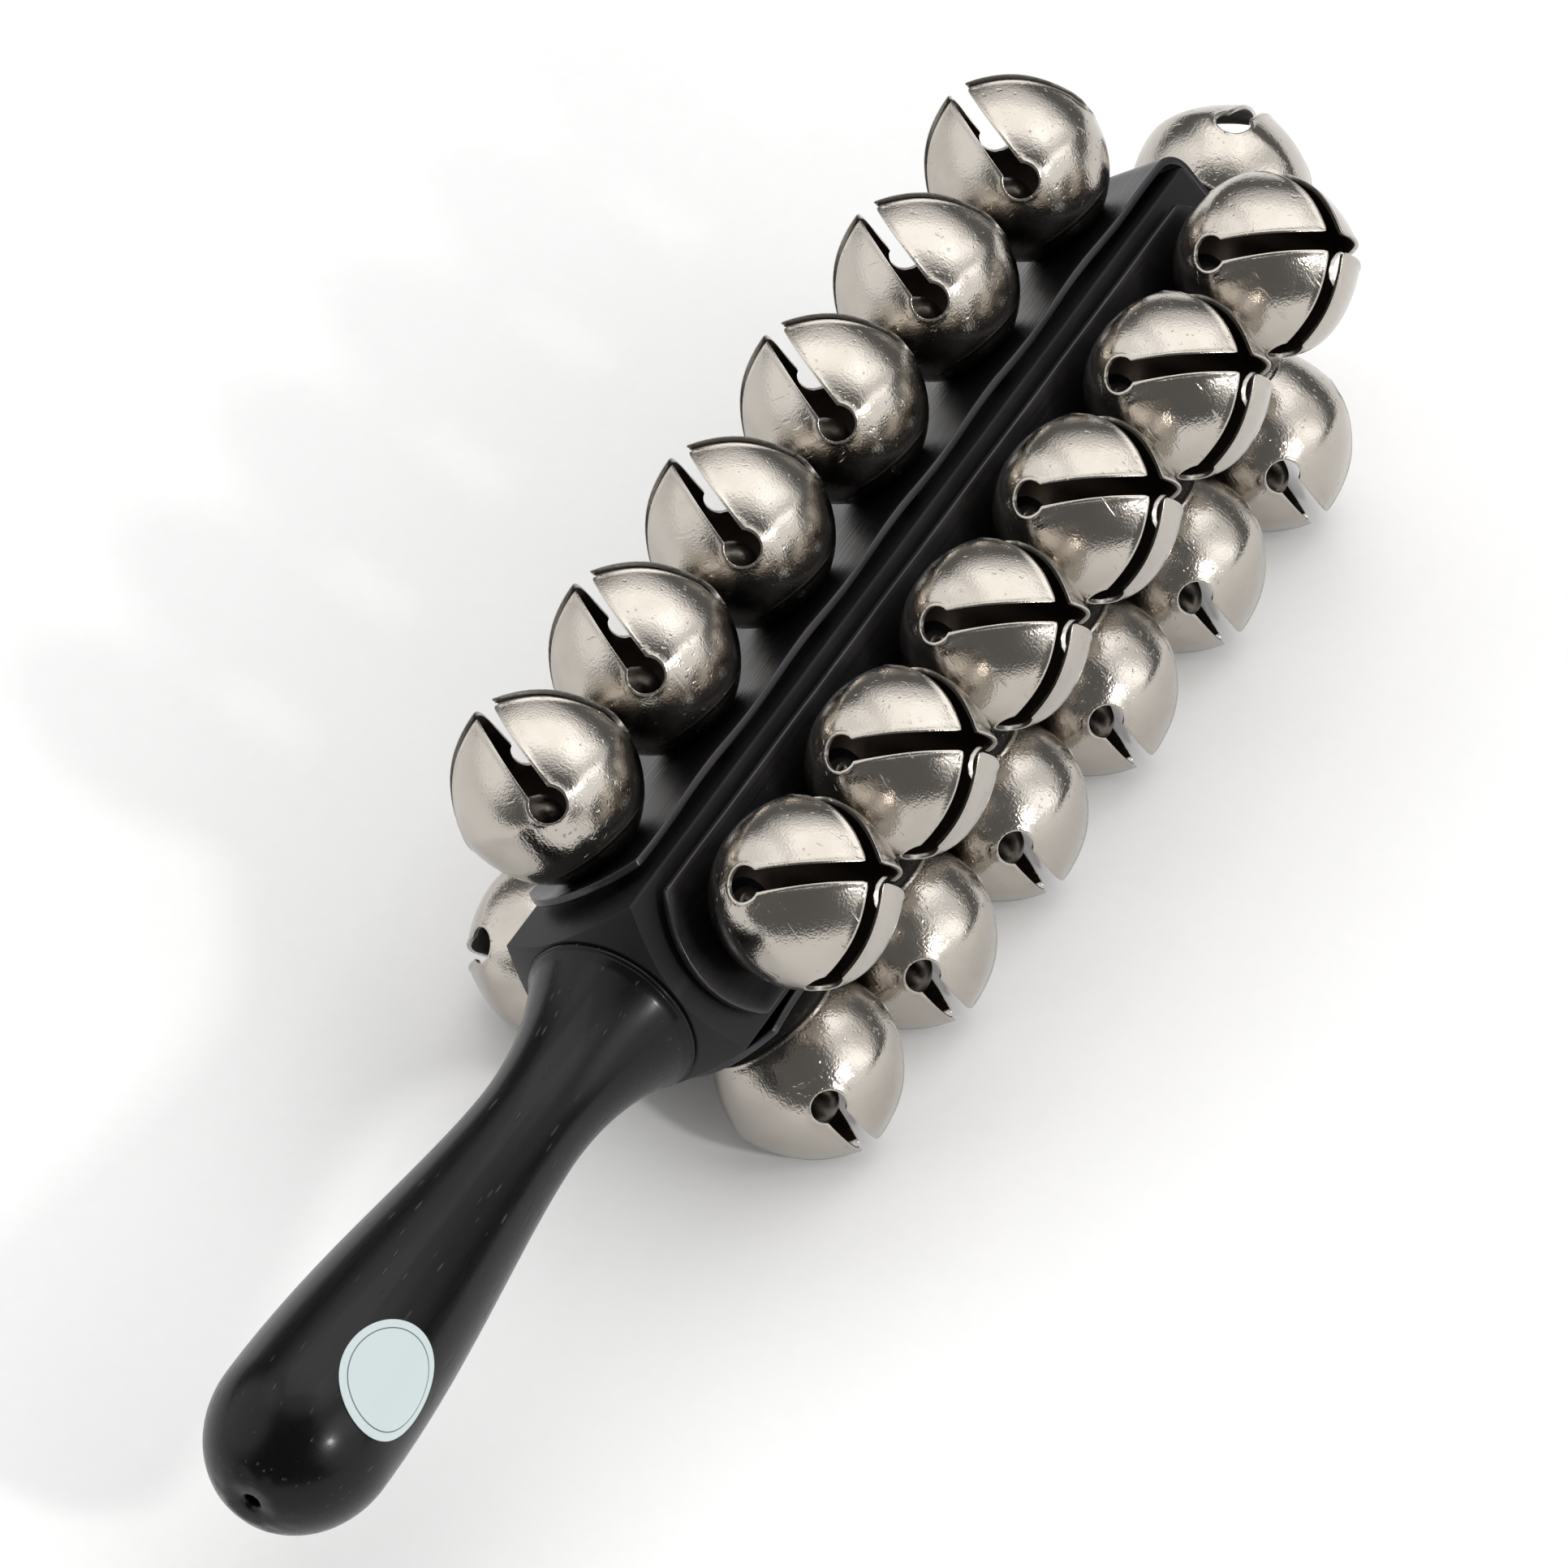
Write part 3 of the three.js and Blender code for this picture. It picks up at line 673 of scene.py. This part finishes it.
def bell_skin(bell):
    """The bell's middle surface: four petals on one dome, with keyhole ended slots between them.

    Shearing leaves a fine bead of raised metal all round each slot and keyhole, rubbed round by tumbling.
    """
    outline, hole_row, hole_rows = bell_outline(bell)
    hole, centre = bell.keyhole / 2, bell.keyhole_rise
    mouth_row = hole_row + hole_rows
    # The slots narrow over this many rows, and the tips' corners are rounded over the last two.
    narrowing_rows = 8
    corner_round = {1: 0.35 * MM, 2: 0.1 * MM}
    vertices, faces, rim = [], [], []

    def depth_at(r, flat, across):
        """How far out the petal lies at a distance across it."""
        return r - (1 - flat) * (r - math.sqrt(max(0, r * r - across * across)))

    for c, s in [(1, 0), (0, 1), (-1, 0), (0, -1)]:
        rows = []
        for n, (r, z) in enumerate(outline):
            # The slot's half width here, and how flat the petal is across.
            if n <= hole_row:
                gap, flat = 0.0, 0.0
            else:
                flat = bell.petal_flatness * smooth((z - centre) / (bell.petal_height - centre)) ** 1.5
                if n < mouth_row:
                    gap = math.sqrt(max(0, hole**2 - (z - centre) ** 2))
                else:
                    gap = blend(bell.slot_start, bell.slot_end, min(1, (n - mouth_row) / narrowing_rows)) / 2
                gap += corner_round.get(len(outline) - n, 0)
            before, after = outline[max(0, n - 1)], outline[min(len(outline) - 1, n + 1)]
            slope = Vector((after[1] - before[1], before[0] - after[0])).normalized()
            # Half the petal's width, found by halving: its edge lies gap from the diagonal between two petals.
            low, high = 0.0, r
            for _ in range(40):
                y = (low + high) / 2
                if (depth_at(r, flat, y) - y) / math.sqrt(2) > gap:
                    low = y
                else:
                    high = y
            bands = [band * min(1, low / (2 * EDGE_BANDS[-1])) for band in EDGE_BANDS]
            plain = low - bands[-1]
            inner = [plain * math.sin(u / 7 * math.pi / 4) / math.sin(math.pi / 4) for u in range(8)]
            half_row = inner + [low - band for band in reversed(bands[:-1])]
            row = []
            for across in [-y for y in reversed(half_row[1:])] + half_row:
                depth = depth_at(r, flat, across)
                aside = (depth - abs(across)) / math.sqrt(2)
                from_hole = math.hypot(aside, z - centre) - hole
                if n < mouth_row:
                    edge = max(0, from_hole)
                elif z > centre + hole:
                    edge = max(0, aside - gap)
                else:
                    edge = max(0, min(aside - gap, max(from_hole, 0)))
                bead = bell.edge_bead * math.sin(math.pi * min(1, edge / EDGE_BANDS[-2]))
                rim.append(smooth(1 - edge / EDGE_BANDS[-1]))
                depth += bead * slope.x
                row.append((c * depth - s * across, s * depth + c * across, z + bead * slope.y))
            rows.append(row)
        new_vertices, new_faces = patch(rows)
        faces += [tuple(len(vertices) + i for i in face) for face in new_faces]
        vertices += new_vertices
    return vertices, faces, rim


def make_bell(bell, outside, inside, cut):
    """One shell, with the sheet's real thickness and eased cut edges."""
    vertices, faces, rim = bell_skin(bell)
    piece = new_piece("bell_shell", vertices, faces, outside, rim)
    piece.data.materials.append(inside)
    # The third slot, on the slots' rims and eased edges, holds the cut edge's painted highlight.
    piece.data.materials.append(cut)
    sheet = {"thickness": bell.sheet, "offset": -1, "use_even_offset": True}
    slots = {"use_rim": True, "material_offset": 1, "material_offset_rim": 2}
    return shape(piece, MERGE, ("SOLIDIFY", {**sheet, **slots}), eased(bell.edge, 2, 50, 2))


def make_screw(screw, material):
    """A pan head screw with a crossed recess and a cut thread. Its own Z = 0 is under its head."""
    steps, head_rings, rings_a_turn = 48, 16, 6
    head, height = screw.head / 2, screw.head_height
    core = screw.shank / 2 * 0.72
    crown, arm_half, cross_depth = 0.55 * MM, 0.62 * MM, 1.15 * MM
    threaded = screw.depth - 2.2 * MM
    rows = []
    # Pan head from the middle of the top outwards, sunk where the cross is.
    for k in range(head_rings + 1):
        r = head * 0.98 * (k / head_rings) ** 0.9
        top = height - crown * (r / head) ** 2 - 0.35 * height * smooth((r / head - 0.72) / 0.28)
        row = []
        for x, y, _ in circle(r, 0, steps):
            arm, wing = max(abs(x), abs(y)), min(abs(x), abs(y))
            cut = smooth((arm_half - wing) / (0.22 * MM)) * smooth((screw.recess / 2 - arm) / (0.3 * MM))
            row.append((x, y, top - cut * cross_depth * (1 - 0.55 * arm / (screw.recess / 2))))
        rows.append(row)
    rows += [circle(head, height * share, steps) for share in (0.3, 0.12)]
    rows += [circle(r, z, steps) for r, z in ((head * 0.97, 0), (core * 1.25, 0), (core, -0.4 * MM))]
    rings = int(threaded / screw.thread_pitch) * rings_a_turn
    for k in range(rings + 1):
        z = -0.6 * MM - k / rings * threaded
        fade = smooth(k / 5) * smooth((rings - k) / 5)
        row = []
        for i in range(steps):
            phase = (z / screw.thread_pitch + i / steps) % 1
            r = core + (screw.shank / 2 - core) * max(0, 1 - abs(phase - 0.5) * 3.2) * fade
            a = 2 * math.pi * i / steps
            row.append((r * math.cos(a), r * math.sin(a), z))
        rows.append(row)
    rows.append(circle(0.3 * MM, 0.1 * MM - screw.depth, steps))
    rows.append([(0, 0, -screw.depth)] * steps)
    rows.reverse()
    piece = new_piece("screw_steel", *patch(rows, closed=True), material)
    return shape(piece, MERGE)


def make_pellet(radius, material):
    """A tumbled pellet: a ball with a faint parting belt and hammered flats."""
    rings, steps = 24, 36
    # Shares of the radius.
    flats, pocks, belt_height, belt_width = 0.022, 0.008, 0.012, 0.09
    rows = []
    for k in range(rings + 1):
        polar = math.pi * k / rings
        row = []
        for point in circle(math.sin(polar), -math.cos(polar), steps):
            d = Vector(point)
            dent = flats * noise.noise(d * 2.6) + pocks * noise.noise(d * 7)
            belt = belt_height * math.exp(-((d.z / belt_width) ** 2))
            row.append(d * radius * (0.985 + dent + belt - belt_height))
        rows.append(row)
    piece = new_piece("pellet_steel", *patch(rows, closed=True), material)
    return shape(piece, MERGE)


def handle_outline(handle, long):
    """(radius, distance from the head) points: flare, neck, bulb, rounded butt and its small flat."""
    flare, neck, bulb = handle.flare / 2, handle.neck / 2, handle.bulb / 2
    neck_x, bulb_x = handle.neck_at * long, handle.bulb_at * long
    flare_steps, grip_steps, butt_steps = 28, 44, 24
    points = []
    for i in range(flare_steps):
        t = i / flare_steps
        points.append((blend(neck, flare, (1 - t) ** 2.2), neck_x * t))
    for i in range(grip_steps):
        t = i / grip_steps
        points.append((blend(neck, bulb, math.sin(math.pi / 2 * t) ** 1.5), blend(neck_x, bulb_x, t)))
    flat_angle = math.acos(handle.butt_flat / handle.bulb)
    for i in range(butt_steps + 1):
        a = flat_angle * i / butt_steps
        points.append((bulb * math.cos(a), blend(bulb_x, long, math.sin(a) / math.sin(flat_angle))))
    return points


def handle_radius(handle, long, x):
    """The handle's radius at a distance from the head."""
    line = handle_outline(handle, long)
    for (r0, x0), (r1, x1) in zip(line, line[1:]):
        if x0 <= x <= x1:
            return blend(r0, r1, (x - x0) / max(1e-9, x1 - x0))
    return line[-1][0]


# ---- Operators: one for each piece or group of like pieces ----


def settings(context):
    return context.scene.sleigh_bells


class SLEIGHBELLS_OT_handle(Operator):
    """Turn the wooden handle"""

    bl_idname = "sleigh_bells.handle"
    bl_label = "Handle"

    def execute(self, context):
        sizes, look = settings(context).handle, settings(context).finish
        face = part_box("head_block")[0].x
        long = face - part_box("handle")[0].x
        # Two fine beads are cut where the flare meets the head.
        line = [(r, x) for r, x in handle_outline(sizes, long) if x > 1.6 * MM]
        flare = sizes.flare / 2
        beads = [
            (flare - 0.6 * MM, 0),
            (flare - 0.1 * MM, 0.15 * MM),
            (flare, 0.5 * MM),
            (flare - 0.05 * MM, 0.8 * MM),
            (flare - 0.35 * MM, 0.95 * MM),
            (flare - 0.35 * MM, 1.05 * MM),
            (flare - 0.3 * MM, 1.2 * MM),
        ]
        tenon_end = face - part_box("handle")[1].x
        chamfer = 0.6 * MM
        hole, deep = sizes.centre_hole / 2, sizes.centre_depth
        tenon = [(0, tenon_end), (TENON - chamfer, tenon_end), (TENON, tenon_end + chamfer), (TENON, 0)]
        profile = tenon + beads + line
        # The lathe centre left a rough dimple round its hole.
        profile += [
            (sizes.butt_flat / 2 - 0.6 * MM, long),
            (hole + 0.9 * MM, long - 0.05 * MM),
            (hole + 0.35 * MM, long - 0.3 * MM),
            (hole, long - 0.8 * MM),
            (hole, long - deep + hole),
            (0, long - deep),
        ]
        piece = new_piece("handle_turned", *turned(profile, 96), black_stained_turned_wood(look))
        # The butt was sanded by hand after parting off, so its flat is a little uneven.
        uneven, sanded = 0.12 * MM, 1.5 * MM
        for vertex in piece.data.vertices:
            if vertex.co.z > long - sanded and vertex.co.xy.length > hole + 0.2 * MM:
                vertex.co.z += uneven * noise.noise(vertex.co * 500)
        shape(piece, MERGE, eased(0.12 * MM, 2, 50))
        piece.matrix_world = placed(-ALONG, STICK + ALONG * face)
        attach(piece, "stick")
        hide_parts("handle")
        return {"FINISHED"}


class SLEIGHBELLS_OT_label(Operator):
    """Stick the plain oval label on the handle"""

    bl_idname = "sleigh_bells.label"
    bl_label = "Label"

    def execute(self, context):
        sizes, look = settings(context).handle, settings(context).finish
        face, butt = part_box("head_block")[0].x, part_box("handle")[0].x
        centre = face - middle("label").x
        rings, steps = 12, 72
        rows, rim = [], []
        for k in range(rings + 1):
            share = 1 - (1 - k / rings) ** 1.6
            row = []
            for i in range(steps):
                a = 2 * math.pi * i / steps
                x = centre + share * sizes.label_length / 2 * math.cos(a)
                across = share * sizes.label_width / 2 * math.sin(a)
                r = handle_radius(sizes, face - butt, x) + 0.04 * MM
                turn = across / r
                row.append((r * math.sin(turn), x, r * math.cos(turn)))
                rim.append(smooth((share - 0.7) / 0.3))
            rows.append(row)
        vertices, faces = patch(rows, closed=True)
        side = SIDES[1]
        piece = new_piece("label_film", vertices, faces, printed_vinyl_label(look), rim)
        shape(
            piece,
            MERGE,
            ("SOLIDIFY", {"thickness": sizes.label_thickness, "offset": 1}),
            eased(0.07 * MM, 2, 50),
        )
        # Its own Y runs from the head to the butt and its own Z faces out.
        across = (-ALONG).cross(side)
        turn = Matrix((across, -ALONG, side)).transposed().to_4x4()
        piece.matrix_world = Matrix.Translation(STICK + ALONG * face) @ turn
        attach(piece, "stick")
        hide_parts("label")
        return {"FINISHED"}


class SLEIGHBELLS_OT_head_block(Operator):
    """Make the square head with its turned near end"""

    bl_idname = "sleigh_bells.head_block"
    bl_label = "Head block"

    def execute(self, context):
        sizes, look = settings(context).head, settings(context).finish
        low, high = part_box("head_block")
        half = reach("head_block", SIDES[0], STICK)
        long = high.x - low.x
        spread = half * (math.sqrt(2) - 1) / sizes.cone
        # Close together at the corners, where the round of the arris lies.
        shares = (0, 0.12, 0.25, 0.38, 0.5, 0.62, 0.72, 0.8, 0.87, 0.92, 0.955, 0.975, 0.99)
        angles = []
        for quarter in range(4):
            angles += [(quarter + t / 2) * math.pi / 2 for t in shares]
            angles += [(quarter + 1 - t / 2) * math.pi / 2 for t in (1, *reversed(shares[1:]))]
        power = 90  # of the superellipse that rounds the corners

        def border(a):
            """How far out the square section lies at an angle."""
            c, s = abs(math.cos(a)), abs(math.sin(a))
            return min(half / max(c, s), half / (c**power + s**power) ** (1 / power))

        rows = []

        def ring(place):
            """One ring. place gives its x and radius from how far out the square lies."""
            places = [(a, *place(border(a))) for a in angles]
            rows.append([(x, r * math.cos(a), r * math.sin(a)) for a, x, r in places])

        socket, lip = TENON + 0.1 * MM, 0.02 * MM
        ring(lambda out: (long - 3 * MM, 0))
        ring(lambda out: (0.4 * MM, socket))
        ring(lambda out: (0, socket + 0.4 * MM))
        ring(lambda out: (0, half - 0.35 * MM))
        ring(lambda out: (lip, half - lip))
        for share in (0.1, 0.35, 0.65, 0.92, 1.0):
            ring(lambda out: ((blend(half, out, share) - half) / spread + lip, blend(half, out, share)))
        for k in range(1, 13):
            ring(lambda out: (blend((out - half) / spread, long - sizes.arris * 5, k / 12) + lip, out))
        ring(lambda out: (long - sizes.arris, out))
        ring(lambda out: (long, out - sizes.arris))
        ring(lambda out: (long, half * 0.4))
        ring(lambda out: (long, 0))
        rows.reverse()
        piece = new_piece("head_block_planed", *patch(rows, closed=True), black_painted_block_wood(look))
        shape(piece, MERGE, eased(sizes.arris, 2, 28))
        piece.matrix_world = placed(SIDES[0], STICK + ALONG * low.x)
        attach(piece, "stick")
        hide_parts("head_block")
        return {"FINISHED"}


def strip_end(sizes, across):
    """How far a strip's rounded end falls back from its crown at a distance from its middle line."""
    half = sizes.strip_width / 2
    radius = (half**2 + sizes.end_bulge**2) / (2 * sizes.end_bulge)
    return radius - math.sqrt(radius**2 - across**2)


def lifted(sizes, along, across, screws):
    """How far a strip stands up at a point, pulled down at each screw and springing up away from them."""
    nearest = min(abs(along - x) for x in screws)
    pitch = min(abs(b - a) for a, b in zip(screws, screws[1:]))
    share = min(1.0, nearest / (pitch / 2))
    wide = abs(across) / (sizes.strip_width / 2)
    return sizes.wave * (1 - math.cos(math.pi * share)) * (0.25 + 0.75 * wide**2)


def across_shares(count):
    """Shares from -1 to 1, closer together towards the edges."""
    return [math.sin(blend(-1, 1, i / count) * math.pi / 2) for i in range(count + 1)]


def make_strip(name, path, sizes, material):
    """A strip along a path, whose every step gives a point from how far across the strip it lies."""
    rows, rim = [], []
    half = sizes.strip_width / 2
    edge_highlight_band = 1.3 * MM  # how far in from its long edges the painted highlight reaches
    for n, step in enumerate(path):
        # The last rows at each end get the painted highlight too.
        end_highlight = smooth(1 - min(n, len(path) - 1 - n) / 3)
        row = []
        for share in across_shares(16):
            row.append(step(share * half))
            rim.append(max(smooth(1 - (1 - abs(share)) * half / edge_highlight_band), end_highlight))
        rows.append(row)
    piece = new_piece(name, *patch(rows), material, rim)
    thick = ("SOLIDIFY", {"thickness": sizes.strip_thickness, "offset": -1, "use_even_offset": True})
    return shape(piece, thick, eased(0.22 * MM, 3, 50))


def screws_on(side):
    """Where the screws of a side stand along the stick."""
    return sorted(foot.x for name, out, foot in stations() if name.startswith(f"row{side}_"))


class SLEIGHBELLS_OT_strips(Operator):
    """Bend the long strip over the end and lay the two side strips"""

    bl_idname = "sleigh_bells.strips"
    bl_label = "Strips"

    def execute(self, context):
        sizes, look = settings(context).head, settings(context).finish
        material = black_lacquered_brushed_steel(look)
        self.side_strips(sizes, material)
        self.long_strip(sizes, material)
        return {"FINISHED"}

    def side_strips(self, sizes, material):
        for side in (2, 4):
            node = f"side_strip_{side}"
            low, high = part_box(node)
            top = reach(node, SIDES[side - 1], STICK)
            screws = screws_on(side)

            def at(share):
                def point(across):
                    back = strip_end(sizes, across)
                    x = blend(low.x + back, high.x - back, share)
                    stand = 0.35 * (lifted(sizes, x, across, screws) - sizes.wave * 0.5)
                    return (x, across, top + stand)

                return point

            path = [at(i / 150) for i in range(151)]
            piece = make_strip(f"strip_side_{side}", path, sizes, material)
            piece.matrix_world = placed(SIDES[side - 1], STICK)
            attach(piece, "stick")
            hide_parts(node)

    def long_strip(self, sizes, material):
        low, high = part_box("u_strip")
        top = reach("u_strip", SIDES[0], STICK)
        bend = sizes.bend_radius

        def leg(share, direction, screws):
            def point(across):
                start = low.x + strip_end(sizes, across)
                x = blend(start, high.x - bend, share)
                fade = smooth((high.x - bend - x) / (12 * MM))
                held = screws[0] - 4 * MM
                free = max(0, (held - x) / (held - low.x))
                stand = fade * (lifted(sizes, x, across, screws) - sizes.wave * 0.3) + sizes.spring * free**2
                return (x, across, direction * (top + stand))

            return point

        upper, lower = screws_on(1), screws_on(3)
        path = [leg(i / 150, 1, upper) for i in range(151)]

        def turn(a, direction):
            x = high.x - bend + bend * math.sin(a)
            z = direction * (top - bend + bend * math.cos(a))
            return lambda across: (x, across, z)

        def over_end(z):
            return lambda across: (high.x, across, z)

        path += [turn(math.pi / 2 * i / 8, 1) for i in range(1, 9)]
        path += [over_end(blend(top - bend, bend - top, i / 12)) for i in range(1, 12)]
        path += [turn(math.pi / 2 * (8 - i) / 8, -1) for i in range(0, 8)]
        path += [leg(1 - i / 150, -1, lower) for i in range(151)]
        piece = make_strip("strip_long", path, sizes, material)
        piece.matrix_world = placed(SIDES[0], STICK)
        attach(piece, "stick")
        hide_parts("u_strip")


def bell_centre(bell, name, out, foot):
    """The middle of a bell's widest circle: its petal height below the tips of its node."""
    return foot + out * (reach("bell_" + name, out, foot) - bell.petal_height)


class SLEIGHBELLS_OT_bells(Operator):
    """Press the bell shells and set them on the strips"""

    bl_idname = "sleigh_bells.bells"
    bl_label = "Bells"

    def execute(self, context):
        sizes, look = settings(context).bell, settings(context).finish
        outside, inside = nickel_plated_drawn_steel(look), dull_inner_plate(look)
        pressed = make_bell(sizes, outside, inside, polished_cut_edge(look))
        for facing in (*SIDES, ALONG):
            first = turned_to(pressed, facing, "shell_facing")
            for name, out, foot in stations():
                if out != facing:
                    continue
                piece = copy_of(first, "shell_" + name)
                piece.location = bell_centre(sizes, name, out, foot)
                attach(piece, "stick")
                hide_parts("bell_" + name)
            bpy.data.objects.remove(first)
        bpy.data.objects.remove(pressed)
        return {"FINISHED"}


class SLEIGHBELLS_OT_screws(Operator):
    """Drive a screw through each bell"""

    bl_idname = "sleigh_bells.screws"
    bl_label = "Screws"

    def execute(self, context):
        bell, sizes, look = settings(context).bell, settings(context).screw, settings(context).finish
        first = make_screw(sizes, zinc_plated_screw_steel(look))
        for number, (name, out, foot) in enumerate(stations()):
            piece = copy_of(first, "screw_" + name)
            seat = bell_centre(bell, name, out, foot) - out * (bell.dome_depth - bell.sheet)
            driven = Matrix.Rotation(math.radians((number * 67) % 90), 4, "Z")
            piece.matrix_world = placed(out, seat) @ driven
            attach(piece, "stick")
        bpy.data.objects.remove(first)
        return {"FINISHED"}


class SLEIGHBELLS_OT_pellets(Operator):
    """Drop a loose pellet into each bell"""

    bl_idname = "sleigh_bells.pellets"
    bl_label = "Pellets"

    def execute(self, context):
        look = settings(context).finish
        radius = size("pellet_end").z / 2
        first = make_pellet(radius, tumbled_steel(look))
        for number, (name, _, _) in enumerate(stations()):
            piece = copy_of(first, "ball_" + name)
            spun = Matrix.Rotation(math.radians(number * 51), 4, "Z")
            tipped = Matrix.Rotation(math.radians(number * 37), 4, "X")
            piece.matrix_world = Matrix.Translation(middle("pellet_" + name)) @ spun @ tipped
            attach(piece, "pellet_" + name)
            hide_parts("pellet_" + name)
        bpy.data.objects.remove(first)
        return {"FINISHED"}


class SLEIGHBELLS_OT_stage(Operator):
    """Set the floor, the lights and the camera"""

    bl_idname = "sleigh_bells.stage"
    bl_label = "Stage"
    # Azimuth, elevation, half width and soft edge of each glow in degrees, then its brightness against the
    # room's.
    GLOWS = (
        (116, 64, 26, 18, 6.0),
        (2, 24, 18, 16, 7.0),
        (34, 48, 20, 16, 5.5),
        (-158, 28, 24, 18, 7.0),
    )
    # Azimuth and elevation of each lamp in degrees, then its distance and its width in metres.
    SOFTBOX = (116, 64, 1.7, 1.2)
    FRONT_LAMP = (-17, 34, 1.7, 0.15)

    def execute(self, context):
        stage, look = settings(context).stage, settings(context).finish
        self.floor(stage, look)
        self.room(context, stage)
        aim = STICK
        self.light("overhead_softbox", self.SOFTBOX, stage.overhead_power, aim)
        self.light("front_lamp", self.FRONT_LAMP, stage.front_power, aim)
        self.camera(context, stage, aim)
        return {"FINISHED"}

    def direction(self, azimuth, elevation):
        level = math.cos(elevation)
        return Vector((math.sin(azimuth) * level, -math.cos(azimuth) * level, math.sin(elevation)))

    def floor(self, stage, look):
        count, half = 24, stage.floor_size / 2
        lines = [blend(-half, half, i / count) for i in range(count + 1)]
        rows = [[(x, y, 0) for x in lines] for y in lines]
        floor = new_piece("floor_board", *patch(rows), white_painted_board(look))
        floor.location.z = cad_box[0][2] - 0.1 * MM

    def room(self, context, stage):
        """A grey room whose walls glow softly in places, so that bright metal mirrors smooth gradients."""
        world = bpy.data.worlds.new("studio_room")
        context.scene.world = world
        world.use_nodes = True
        world.node_tree.nodes.clear()
        facing = add(world, "TexCoord").outputs["Generated"]
        strength = stage.room_light
        for azimuth, elevation, half, edge, bright in self.GLOWS:
            towards = self.direction(math.radians(azimuth), math.radians(elevation))
            near = add(world, "VectorMath", {0: facing, 1: towards}, operation="DOT_PRODUCT")
            glow = {
                "Value": near,
                "From Min": math.cos(math.radians(half + edge)),
                "From Max": math.cos(math.radians(half)),
                "To Max": bright * stage.room_light,
            }
            glow = add(world, "MapRange", glow, interpolation_type="SMOOTHSTEP")
            strength = add(world, "Math", {0: glow, 1: strength}, operation="ADD")
        light = add(world, "Background", {"Color": (*linear("#ffffff"), 1), "Strength": strength})
        add(world, "OutputWorld", {"Surface": light})

    def light(self, name, place, power, aim):
        azimuth, elevation, distance, width = place
        lamp = bpy.data.lights.new(name, "AREA")
        lamp.shape, lamp.size, lamp.size_y, lamp.energy = "RECTANGLE", width, width, power
        lamp.color = linear("#fffdfb")
        away = self.direction(math.radians(azimuth), math.radians(elevation))
        holder = bpy.data.objects.new(name, lamp)
        bpy.context.scene.collection.objects.link(holder)
        turn = away.to_track_quat("Z", "Y").to_matrix().to_4x4()
        holder.matrix_world = Matrix.Translation(aim + away * distance) @ turn

    def camera(self, context, stage, aim):
        lens = bpy.data.cameras.new("studio_camera")
        lens.lens, lens.sensor_width = stage.focal, 36
        lens.clip_start, lens.clip_end = 0.05, 50
        away = self.direction(stage.azimuth, stage.elevation)
        holder = bpy.data.objects.new("studio_camera", lens)
        bpy.context.scene.collection.objects.link(holder)
        turn = away.to_track_quat("Z", "Y").to_matrix().to_4x4() @ Matrix.Rotation(stage.roll, 4, "Z")
        holder.matrix_world = Matrix.Translation(aim + away * stage.distance) @ turn
        context.scene.camera = holder
        context.scene.view_settings.view_transform = "Standard"


# ---- Panel and registration ----


OPERATORS = (
    SLEIGHBELLS_OT_handle,
    SLEIGHBELLS_OT_label,
    SLEIGHBELLS_OT_head_block,
    SLEIGHBELLS_OT_strips,
    SLEIGHBELLS_OT_bells,
    SLEIGHBELLS_OT_screws,
    SLEIGHBELLS_OT_pellets,
    SLEIGHBELLS_OT_stage,
)


class SLEIGHBELLS_PT_pieces(Panel):
    """Sleigh bell pieces and their sizes"""

    bl_idname = "SLEIGHBELLS_PT_pieces"
    bl_label = "Sleigh Bells"
    bl_space_type = "VIEW_3D"
    bl_region_type = "UI"
    bl_category = "Sleigh Bells"

    def draw(self, context):
        layout = self.layout
        for operator in OPERATORS:
            layout.operator(operator.bl_idname)
        for group in ("finish", "bell", "handle", "head", "screw", "stage"):
            values = getattr(settings(context), group)
            box = layout.box()
            box.label(text=group.capitalize())
            for name in type(values).__annotations__:
                box.prop(values, name)


CLASSES = (
    SleighBellFinishes,
    SleighBellBell,
    SleighBellHandle,
    SleighBellHead,
    SleighBellScrew,
    SleighBellStage,
    SleighBellSettings,
    *OPERATORS,
    SLEIGHBELLS_PT_pieces,
)


def register():
    for cls in CLASSES:
        bpy.utils.register_class(cls)
    bpy.types.Scene.sleigh_bells = PointerProperty(type=SleighBellSettings)


def unregister():
    del bpy.types.Scene.sleigh_bells
    for cls in reversed(CLASSES):
        bpy.utils.unregister_class(cls)


def main():
    register()
    bpy.ops.sleigh_bells.stage()
    bpy.ops.sleigh_bells.handle()
    bpy.ops.sleigh_bells.label()
    bpy.ops.sleigh_bells.head_block()
    bpy.ops.sleigh_bells.strips()
    bpy.ops.sleigh_bells.bells()
    bpy.ops.sleigh_bells.screws()
    bpy.ops.sleigh_bells.pellets()


if __name__ == "__main__":
    main()
